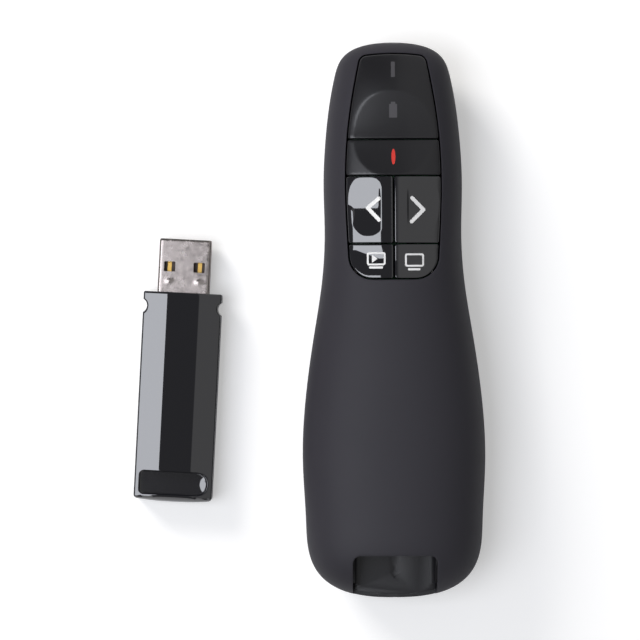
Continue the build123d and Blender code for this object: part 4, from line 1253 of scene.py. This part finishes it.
def sleeve_face(inset):
    """One face of the folded sheet with its windows."""
    tip_rows = np.linspace(PLUG_TIP - MOUTH_DRAWN, PLUG_TIP, 7)
    along = np.concatenate([np.arange(PLUG_REAR, PLUG_TIP - 0.7, 0.3), tip_rows])
    grid = np.stack(np.meshgrid(SLEEVE_LENGTH, along), -1).reshape(-1, 2)
    ends = np.isin(grid[:, 0], SLEEVE_LENGTH[[0, -1]]) | np.isin(grid[:, 1], along[[0, -1]])
    places, faces = net(np.vstack([grid[ends], clear_of(grid[~ends], windows, 0.14)]), windows)
    middles = places[faces].mean(1)
    keep = np.ones(len(faces), bool)
    for outline in windows:
        keep &= ~inside(outline, middles)
    return sleeve_point(places, inset), faces[keep]


sleeve = [sleeve_face(0.0), sleeve_face(SHEET)]
for outline in windows:
    sleeve.append(band(sleeve_point(outline, 0.0), sleeve_point(outline, SHEET)))
for y in (PLUG_REAR, PLUG_TIP):
    ring = np.column_stack([SLEEVE_LENGTH, np.full(len(SLEEVE_LENGTH), y)])
    sleeve.append(band(sleeve_point(ring, 0.0), sleeve_point(ring, SHEET), closed=False))


def metal(name, colour, roughness, mottle, mottle_scale, stretch=(1, 1, 1), scratch=0.0):
    """A metal with a cloudy tone, a drifting gloss and, where asked, fine lengthwise lines."""
    material = finish(name, colour, roughness, mottle, 0.25, Metallic=1.0)
    tree = material.node_tree
    group = next(node for node in tree.nodes if node.type == "GROUP")
    feed(tree, group, {"Drift Scale": mottle_scale})
    if scratch:
        place = add_node(tree, "ShaderNodeTexCoord").outputs["Object"]
        place = add_node(tree, "ShaderNodeMapping", {"Vector": place, "Scale": stretch}).outputs[0]
        lines = add_node(tree, "ShaderNodeTexNoise", {"Vector": place, "Scale": 900.0})
        relief(tree, lines.outputs["Fac"], scratch, 0.01)
    return material


PLUG_STEEL = metal("plug_steel", (0.4, 0.36, 0.345), 0.24, 0.42, 900.0)
TONGUE_PLASTIC = finish("tongue_plastic", (0.075, 0.042, 0.026), 0.4)
GILT = metal("gilt", (0.62, 0.4, 0.12), 0.3, 0.3, 900.0)
piece("plug_sleeve", placed(sleeve), PLUG_STEEL, "receiver", ["usb_shell"], crease=40)
tongue_low = HOUSING_JOINT - half_high + SHEET
tongue_top = tongue_low + TONGUE_THICK
tongue = [brick((-TONGUE_HALF, PLUG_REAR, tongue_low), (TONGUE_HALF, PLUG_TIP - 0.5, tongue_top), 0.2)]
piece("plug_tongue", placed(tongue), TONGUE_PLASTIC, "receiver", ["usb_tongue"])
pads = []
for x, back in ((-3.5, 1.2), (-1.0, 2.2), (1.0, 2.2), (3.5, 1.2)):
    pad_end = (x + PAD_HALF, PLUG_TIP - back, tongue_top + PAD_THICK)
    pads.append(brick((x - PAD_HALF, PLUG_REAR, tongue_top), pad_end, 0.05))
piece("plug_contacts", placed(pads), GILT, "receiver", ["usb_contacts"])

# ---------------------------------------------------------------- chassis and screws
# The black ABS chassis between the shells, whose upper channel is the receiver's bay and shows in
# the tail's mouth, and the two self-tapping cross-head screws that hold the shells together.


def eased_piece(name, node, radius, material, body):
    """A piece in the form of one CAD node, with its hard edges bevelled."""
    work = bmesh.new()
    work.from_mesh(frame["nodes"][node].data)
    bmesh.ops.remove_doubles(work, verts=work.verts, dist=WELD / 2)
    bmesh.ops.dissolve_limit(work, angle_limit=0.01, verts=work.verts, edges=work.edges)
    hard = [
        edge
        for edge in work.edges
        if len(edge.link_faces) == 2 and edge.calc_face_angle() > math.radians(32)
    ]
    bevel = {"offset": radius * MM, "segments": 2, "profile": 0.5, "affect": "EDGES"}
    bmesh.ops.bevel(work, geom=hard, clamp_overlap=True, **bevel)
    work.verts.index_update()
    points = np.array([vert.co[:] for vert in work.verts]) / MM
    faces = [[vert.index for vert in face.verts] for face in work.faces]
    work.free()
    piece(name, [(points, faces)], material, body, [node])


CHASSIS_BLACK = finish("chassis_black", (0.0075, 0.0073, 0.0095), 0.42, 0.2, 0.15, grain=1800.0, depth=0.03)
eased_piece("chassis", "inner_frame", 0.16, CHASSIS_BLACK, "case")


def turned(profile, place, axis, steps=40):
    """A turned form: rings of (radius, reach) about the axis through a place."""
    angles = np.linspace(0, 2 * math.pi, steps, endpoint=False)
    rings = []
    for radius, reach in profile:
        cos, sin = radius * np.cos(angles), radius * np.sin(angles)
        level = np.full(steps, float(reach))
        ring = (cos, level, sin) if axis == "Y" else (cos, sin, level)
        rings.append(np.column_stack(ring) + place)
    return bands(rings)


def thread(turns, radius, crest, low, high):
    """Rings of a coarse thread, as a profile of crests along a shank."""
    pitch = (high - low) / turns
    profile = []
    for k in range(turns):
        level = low + k * pitch
        profile += [(radius, level + 0.2 * pitch), (crest, level + 0.5 * pitch)]
        profile.append((radius, level + 0.8 * pitch))
    return profile


SCREW_STEEL = metal("screw_steel", (0.3, 0.3, 0.31), 0.3, 0.3, 500.0)
quarter_cross = np.array([(0.8, -0.2, 0.08), (0.8, 0.2, 0.08), (0.2, 0.2, 0)])
corners = []
for cos, sin in ((1, 0), (0, 1), (-1, 0), (0, -1)):
    corners += [(cos * x - sin * y, sin * x + cos * y, radius) for x, y, radius in quarter_cross]
cross = rounded_outline(corners, 0.3)


def row_tree():
    """Geometry Nodes tree: a form in a row, the row in turns, and the turns round every vertex."""
    tree = bpy.data.node_groups.new("repeated_rows", "GeometryNodeTree")
    sockets = {}
    for name, kind in (
        ("Centres", "NodeSocketGeometry"),
        ("Form", "NodeSocketObject"),
        ("Count", "NodeSocketInt"),
        ("Start", "NodeSocketVector"),
        ("Step", "NodeSocketVector"),
        ("Turns", "NodeSocketInt"),
        ("Heading", "NodeSocketFloat"),
        ("Material", "NodeSocketMaterial"),
    ):
        sockets[name] = tree.interface.new_socket(name, in_out="INPUT", socket_type=kind).identifier
    tree.interface.new_socket("Rows", in_out="OUTPUT", socket_type="NodeSocketGeometry")

    def instances(points, form, **more):
        given = {"Points": points, "Instance": form, **more}
        return add_node(tree, "GeometryNodeInstanceOnPoints", given).outputs["Instances"]

    given = add_node(tree, "NodeGroupInput").outputs
    form = add_node(tree, "GeometryNodeObjectInfo", {"Object": given["Form"]}).outputs["Geometry"]
    line = {"Count": given["Count"], "Start Location": given["Start"], "Offset": given["Step"]}
    row = instances(add_node(tree, "GeometryNodeMeshLine", line).outputs["Mesh"], form)
    spots = add_node(tree, "GeometryNodePoints", {"Count": given["Turns"]}).outputs[0]
    index = add_node(tree, "GeometryNodeInputIndex").outputs[0]
    share = calculated(tree, "DIVIDE", index, given["Turns"])
    angle = calculated(tree, "MULTIPLY_ADD", share, 2 * math.pi, given["Heading"])
    turn = add_node(tree, "ShaderNodeCombineXYZ", {"Z": angle}).outputs[0]
    turns = instances(given["Centres"], instances(spots, row, Rotation=turn))
    plain = add_node(tree, "GeometryNodeRealizeInstances", {"Geometry": turns}).outputs["Geometry"]
    coat = add_node(tree, "GeometryNodeSetMaterial", {"Geometry": plain, "Material": given["Material"]})
    add_node(tree, "NodeGroupOutput", {"Rows": coat.outputs["Geometry"]})
    return tree, sockets


ROWS, ROW_SOCKETS = row_tree()


def rows(name, patches, material, body, centres, count, start, step, turns=1, heading=0.0, stands_for=()):
    """A form repeated in rows round every centre, as one plain mesh riding on its body."""
    form = shape(name + "_form", patches, material, crease=25)
    mesh = bpy.data.meshes.new(name)
    mesh.from_pydata([[size * MM for size in centre] for centre in centres], [], [])
    made = bpy.data.objects.new(name, mesh)
    bpy.context.scene.collection.objects.link(made)
    modifier = made.modifiers.new("rows", "NODES")
    modifier.node_group = ROWS
    for socket, value in (
        ("Form", form),
        ("Count", count),
        ("Start", [size * MM for size in start]),
        ("Step", [size * MM for size in step]),
        ("Turns", turns),
        ("Heading", heading),
        ("Material", material),
    ):
        modifier[ROW_SOCKETS[socket]] = value
    graph = bpy.context.evaluated_depsgraph_get()
    made.data = bpy.data.meshes.new_from_object(made.evaluated_get(graph), depsgraph=graph)
    made.modifiers.clear()
    bpy.data.objects.remove(form)
    bpy.data.meshes.remove(mesh)
    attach(made, body)
    if stands_for:
        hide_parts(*stands_for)


screw = [lid(circle(0, 0, 1.1), 0.0, 0.25, [cross])]
screw += [band(raised(cross, 0.0), raised(cross * 0.7, 0.7)), lid(cross * 0.7, 0.7, 0.4)]
profile = [(1.1, 0.0), (1.32, 0.12), (1.38, 0.45), (1.38, 0.85), (0.72, 0.85), (0.72, 2.8)]
profile += thread(9, 0.7, 0.92, 2.8, 9.9) + [(0.5, 10.15), (0.0, 10.42)]
screw += turned(profile, (0, 0, 0), "Z")
first = (-SCREW_PLACE[0], SCREW_PLACE[1], SCREW_FACE)
apart = (2 * SCREW_PLACE[0], 0, 0)
rows("screws", screw, SCREW_STEEL, "case", [(0, 0, 0)], 2, first, apart, stands_for=["case_screws"])

# ---------------------------------------------------------------- cells and their contacts
# Two AAA cells lying head to tail in the chassis, each a steel can in a printed plastic sleeve, with
# nickelled contact plates at both ends and two bowed leaf springs.
CELL_X = 5.5
CELL_RADIUS = 5.2  # with its sleeve
HEAD_LONG = 9.0  # length of the sleeve's coppery band
SLEEVE_INK = finish("cell_sleeve", (0.03, 0.032, 0.036), 0.28, 0.15, 0.1, Coat_Weight=0.5, Coat_Roughness=0.1)
SLEEVE_BAND = metal("cell_band", (0.55, 0.3, 0.12), 0.3, 0.2, 300.0)
NICKEL = metal("nickel", (0.62, 0.6, 0.56), 0.28, 0.3, 500.0, (1, 8, 1), 0.3)


def box_of(node):
    """Low and high corner of a CAD node, in millimetres."""
    low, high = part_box(node)
    return np.array(low) / MM, np.array(high) / MM


for name, side in (("left", -1), ("right", 1)):
    low, high = box_of("battery_" + name)
    place = np.array((side * CELL_X, 0.0, (low[2] + high[2]) / 2))
    head, foot, way = (high[1], low[1], 1) if side > 0 else (low[1], high[1], -1)
    can = foot + way * 0.05
    shoulder = head - way * 0.95
    foot_end = [(0.0, 0.0), (4.3, 0.0), (4.75, 0.1), (4.95, 0.35), (5.0, 0.8)]
    head_end = [(5.0, -0.9), (4.85, -0.35), (4.4, -0.1), (3.1, 0.0), (2.6, -0.12), (1.85, -0.05)]
    head_end += [(1.8, 0.7), (1.55, 0.9), (0.0, 0.93)]
    profile = [(radius, can + way * reach) for radius, reach in foot_end]
    profile += [(radius, shoulder + way * reach) for radius, reach in head_end]
    piece("cell_can_" + name, turned(profile, place, "Y", 64), NICKEL, "case", ["battery_" + name])
    split = shoulder - way * HEAD_LONG
    for part, ink, start, end, lip, last in (
        ("body", SLEEVE_INK, can, split, 4.75, CELL_RADIUS),
        ("head", SLEEVE_BAND, split, shoulder, CELL_RADIUS, 4.5),
    ):
        profile = [(lip, start + way * 0.12), (CELL_RADIUS - 0.08, start + way * 0.22)]
        profile += [(CELL_RADIUS, start + way * 0.5), (CELL_RADIUS, end - way * 0.5)]
        profile += [(last - 0.02, end - way * 0.02), (last - 0.1, end - way * 0.1)]
        sleeve = turned(profile + profile[:1], place, "Y", 64)
        piece("cell_" + part + "_" + name, sleeve, ink, "case")
eased_piece("cell_contacts", "battery_contacts", 0.08, NICKEL, "case")
eased_piece("cell_springs", "battery_springs", 0.06, NICKEL, "case")

# ---------------------------------------------------------------- boards and switches
# Green glass-epoxy boards with tinned pads, the two chips, two crystals and the LEDs, five square
# switches of black nylon under the keys, each with its plunger, and the slide switch and its knob.


def board_finish(name, mask, track):
    """Solder mask over copper tracks: the tracks show as a slightly lighter tone in low relief."""
    material = finish(name, mask, 0.32, 0.15, 0.1)
    tree = material.node_tree
    shader = tree.nodes["Principled BSDF"]
    place = add_node(tree, "ShaderNodeTexCoord").outputs["Object"]
    given = {"Vector": place, "Scale": 320.0, "Mortar Size": 0.06, "Mortar Smooth": 0.2}
    layout = {"offset": 0.37, "squash": 0.6, "offset_frequency": 3, "squash_frequency": 2}
    tracks = add_node(tree, "ShaderNodeTexBrick", given, **layout).outputs["Fac"]
    base = shader.inputs["Base Color"].links[0].from_socket
    feed(tree, shader, {"Base Color": blended(tree, tracks, base, (*track, 1))})
    relief(tree, tracks, 0.5, 0.03)
    return material


BOARD_GREEN = board_finish("board_green", (0.012, 0.07, 0.03), (0.03, 0.15, 0.06))
CHIP_EPOXY = finish("chip_epoxy", (0.014, 0.014, 0.015), 0.55, 0.2, 0.15, grain=3000.0, depth=0.02)
CRYSTAL_CAN = metal("crystal_can", (0.66, 0.65, 0.62), 0.22, 0.2, 600.0)
LED_RESIN = finish("led_resin", (0.75, 0.72, 0.5), 0.25, Transmission_Weight=0.2)
for node, radius, material, body in (
    ("main_board", 0.06, BOARD_GREEN, "case"),
    ("power_board", 0.06, BOARD_GREEN, "case"),
    ("receiver_board", 0.06, BOARD_GREEN, "receiver"),
    ("radio_chip", 0.08, CHIP_EPOXY, "case"),
    ("receiver_chip", 0.08, CHIP_EPOXY, "receiver"),
    ("radio_crystal", 0.2, CRYSTAL_CAN, "case"),
    ("receiver_crystal", 0.2, CRYSTAL_CAN, "receiver"),
):
    eased_piece(node + "_eased", node, radius, material, body)
eased_piece("leds", "status_leds", 0.08, LED_RESIN, "case")
# a leg's path: how far out, and its top and bottom there
LEG_PATH = [(-0.1, 0.51, 0.39), (0.23, 0.51, 0.39), (0.4, 0.12, 0.0), (0.75, 0.12, 0.0)]


def leg(size, half):
    """A gull-wing leg with its soldered pad, as patches: its size as a factor and its half width."""
    ring = [(out, top) for out, top, _ in LEG_PATH] + [(out, low) for out, _, low in LEG_PATH[::-1]]
    sides = [np.array([(out * size, y, z * size) for out, z in ring]) for y in (-half, half)]
    patches = [band(*sides)]
    patches += [(side, [(0, 1, 6, 7), (1, 2, 5, 6), (2, 3, 4, 5)]) for side in sides]
    patches.append(brick((0.2 * size, -1.3 * half, -0.01), (size, 1.3 * half, 0.04), 0.01))
    return patches


def foot_of(node):
    """The middle of a CAD node's underside."""
    low, high = box_of(node)
    return np.array(((low[0] + high[0]) / 2, (low[1] + high[1]) / 2, low[2]))


TINNED = metal("tinned_legs", (0.56, 0.55, 0.52), 0.3, 0.25, 900.0)
for node, body, heading in (("radio_chip", "case", 0.0), ("receiver_chip", "receiver", RECEIVER_TURN)):
    start, step = (2.5, -1.95, 0), (0, 0.65, 0)
    rows(node + "_legs", leg(1.0, 0.13), TINNED, body, [foot_of(node)], 7, start, step, 2, heading)
KEYS = ("laser", "back", "next", "slideshow", "blank")
seat = box_of("key_switches")[0][2]
centres = [(*foot_of(key + "_plunger")[:2], seat) for key in KEYS]
rows("switch_legs", leg(1.3, 0.35), TINNED, "case", centres, 2, (3.0, -2.25, 0), (0, 4.5, 0), 2)
SWITCH_NYLON = finish("switch_nylon", (0.02, 0.02, 0.021), 0.4, grain=2500.0, depth=0.02)
eased_piece("switch_bodies", "key_switches", 0.1, SWITCH_NYLON, "case")
eased_piece("power_switch", "power_switch_body", 0.12, SWITCH_NYLON, "case")
PLUNGER_NYLON = finish("plunger_nylon", (0.62, 0.58, 0.5), 0.35)
for key in KEYS:
    low, high = box_of(key + "_plunger")
    tall = high[2] - low[2]
    profile = [(0.0, 0.0), (1.7, 0.0), (1.7, tall - 0.25), (1.45, tall), (0.0, tall)]
    made = turned(profile, foot_of(key + "_plunger"), "Z", 32)
    piece(key + "_plunger_turned", made, PLUNGER_NYLON, key + "_key", [key + "_plunger"])
eased_piece("power_knob_eased", "power_knob", 0.07, SWITCH_NYLON, "power_slider")

# ---------------------------------------------------------------- laser
# A turned brass barrel with its glass lens, behind a satin-chromed bezel and a dark red acrylic
# window in the blunt nose.
BRASS = metal("brass", (0.72, 0.5, 0.2), 0.24, 0.25, 400.0, (1, 14, 1), 0.5)
SATIN_CHROME = metal("satin_chrome", (0.62, 0.62, 0.63), 0.2, 0.15, 400.0, (1, 10, 1), 0.25)
LENS_GLASS = finish("lens_glass", (0.95, 0.97, 0.96), 0.02, 0.02, 0.01, Transmission_Weight=1.0, IOR=1.52)
WINDOW_RED = finish("window_red", (0.12, 0.006, 0.006), 0.06, 0.1, 0.03, Transmission_Weight=0.5, IOR=1.49)
axis = np.array((0.0, 0.0, LASER_Z))
low, high = box_of("laser_barrel")
rear, front = low[1], high[1]
bore = 2.1
profile = [(0.0, rear), (2.5, rear), (2.9, rear + 0.3), (3.0, rear + 0.5), (3.0, rear + 3.0)]
profile += [(2.8, rear + 3.2), (2.8, rear + 3.9), (3.0, rear + 4.1), (3.0, front - 0.3)]
profile += [(2.85, front), (bore, front), (bore, front - 3.9), (0.0, front - 3.9)]
piece("barrel", turned(profile, axis, "Y", 56), BRASS, "case", ["laser_barrel"])
low, high = box_of("laser_lens")
rear, front, wide = low[1], high[1], high[0] - 0.02
profile = [(0.0, rear), (wide, rear + 0.1), (wide, front - 0.35), (1.2, front - 0.1), (0.0, front)]
piece("lens", turned(profile, axis, "Y", 48), LENS_GLASS, "case", ["laser_lens"])
low, high = box_of("laser_bezel")
rear, front, wide = low[1], high[1], high[0]
bore = box_of("laser_window")[1][0]
profile = [(bore, rear), (wide - 0.02, rear), (wide - 0.02, front - 0.45), (wide - 0.12, front - 0.18)]
profile += [(wide - 0.4, front), (bore + 0.25, front), (bore + 0.06, front - 0.12), (bore, front - 0.4)]
piece("bezel", turned(profile + [(bore, rear)], axis, "Y", 56), SATIN_CHROME, "case", ["laser_bezel"])
low, high = box_of("laser_window")
rear, front = low[1], high[1]
profile = [(0.0, rear), (bore - 0.01, rear), (bore - 0.01, front - 0.12), (bore - 0.15, front)]
profile.append((0.0, front + 0.05))
piece("window", turned(profile, axis, "Y", 48), WINDOW_RED, "case", ["laser_window"])

# ---------------------------------------------------------------- stage, light and camera
# A plain pale table under one soft box at the lower left, in a dim room with a pale wall on the
# right that the polished keys reflect. The camera looks straight down.
TABLE_HALF = 1.2
TABLE_COLOUR = 0.8
TABLE_SEEN = 1.25  # the table's colour where the camera sees it, so that it stays white
TABLE_WHITE = 0.4  # and the share of plain white there, which lifts the shadows
table_finish = finish("pale_table", (TABLE_COLOUR, TABLE_COLOUR, TABLE_COLOUR), 0.95, drift=0.01)
tree = table_finish.node_tree
shader = tree.nodes["Principled BSDF"]
seen = add_node(tree, "ShaderNodeLightPath").outputs["Is Camera Ray"]
base = shader.inputs["Base Color"].links[0].from_socket
shown = blended(tree, seen, base, (TABLE_SEEN, TABLE_SEEN, TABLE_SEEN, 1))
feed(tree, shader, {"Base Color": shown, "Specular IOR Level": 0.0})
share = calculated(tree, "MULTIPLY", seen, TABLE_WHITE)
white = add_node(tree, "ShaderNodeEmission").outputs[0]
lifted = add_node(tree, "ShaderNodeMixShader", {0: share, 1: shader.outputs[0], 2: white})
feed(tree, tree.nodes["Material Output"], {"Surface": lifted.outputs[0]})
mesh = bpy.data.meshes.new("table")
corners = [(x * TABLE_HALF, y * TABLE_HALF, 0) for x, y in ((-1, -1), (1, -1), (1, 1), (-1, 1))]
mesh.from_pydata(corners, [], [(0, 1, 2, 3)])
mesh.materials.append(table_finish)
table = bpy.data.objects.new("table", mesh)
bpy.context.scene.collection.objects.link(table)

# each light: size, place, the point it faces, its radiance and its tint
LIGHTS = {
    "softbox": ((0.8, 0.7), (-0.545, -0.147, 1.0), (-0.545, -0.147, 0.0), 4.0, (0.96, 0.985, 1.055)),
    "side_light": ((0.5, 0.5), (-0.78, 0.86, 0.62), (-0.02, 0.0, 0.0), 15.5, (1.03, 1.0, 0.96)),
}
for name, (size, place, aim, radiance, tint) in LIGHTS.items():
    light = bpy.data.lights.new(name, "AREA")
    light.shape = "RECTANGLE"
    light.size, light.size_y = size
    light.energy = radiance * math.pi * size[0] * size[1]
    light.color = tint
    lamp = bpy.data.objects.new(name, light)
    lamp.location = place
    lamp.rotation_euler = (Vector(place) - Vector(aim)).to_track_quat("Z", "Y").to_euler()
    lamp.visible_glossy = name == "softbox"  # the polished parts mirror only the box
    bpy.context.scene.collection.objects.link(lamp)

ROOM_FILL = 0.23  # light that the room gives matt surfaces from straight above
ROOM_LEANS = (-0.6, 0.3, 0.0)  # how much brighter it is towards +X and +Y, as shares
ROOM_DIM = 0.15  # what gloss reflects of the room
ROOM_WALL = 0.46  # and of its pale wall, a strip of directions just right of straight up
WALL_REACH = (0.05, 0.08, 0.7, 0.9)  # where the strip fades in and out again, as sines
world = bpy.data.worlds.new("room")
bpy.context.scene.world = world
world.use_nodes = True
tree = world.node_tree
direction = add_node(tree, "ShaderNodeTexCoord").outputs["Generated"]
lean = add_node(tree, "ShaderNodeVectorMath", {0: direction, 1: ROOM_LEANS}, operation="DOT_PRODUCT")
fill = calculated(tree, "MULTIPLY_ADD", lean.outputs["Value"], ROOM_FILL, ROOM_FILL)
across = add_node(tree, "ShaderNodeSeparateXYZ", {0: direction}).outputs["X"]
fades = []
for start, end, low, high in (
    (WALL_REACH[0], WALL_REACH[1], ROOM_DIM, ROOM_WALL),
    (WALL_REACH[2], WALL_REACH[3], ROOM_WALL, ROOM_DIM),
):
    given = {"Value": across, "From Min": start, "From Max": end, "To Min": low, "To Max": high}
    fades.append(add_node(tree, "ShaderNodeMapRange", given).outputs[0])
wall = calculated(tree, "MINIMUM", *fades)
ray = add_node(tree, "ShaderNodeLightPath").outputs
glossy = add_node(tree, "ShaderNodeMix", {0: ray["Is Glossy Ray"], 2: fill, 3: wall}).outputs[0]
seen = add_node(tree, "ShaderNodeMix", {0: ray["Is Camera Ray"], 2: glossy, 3: 1.0}).outputs[0]
feed(tree, tree.nodes["Background"], {"Color": (1, 1, 1, 1), "Strength": seen})

scene = bpy.context.scene
scene.view_settings.view_transform = "Standard"
CAMERA = (-0.0168, 0.0001, 0.812)
CAMERA_TURN = math.radians(-0.275)
SEEN_WIDTH = 0.1466  # metres across the picture at the joint's height
SENSOR = 36.0
camera = bpy.data.cameras.new("camera")
camera.sensor_width = SENSOR
camera.lens = SENSOR * (CAMERA[2] - JOINT_Z * MM) / SEEN_WIDTH
eye = bpy.data.objects.new("camera", camera)
eye.location = CAMERA
eye.rotation_euler = (0, 0, CAMERA_TURN)
scene.collection.objects.link(eye)
scene.camera = eye
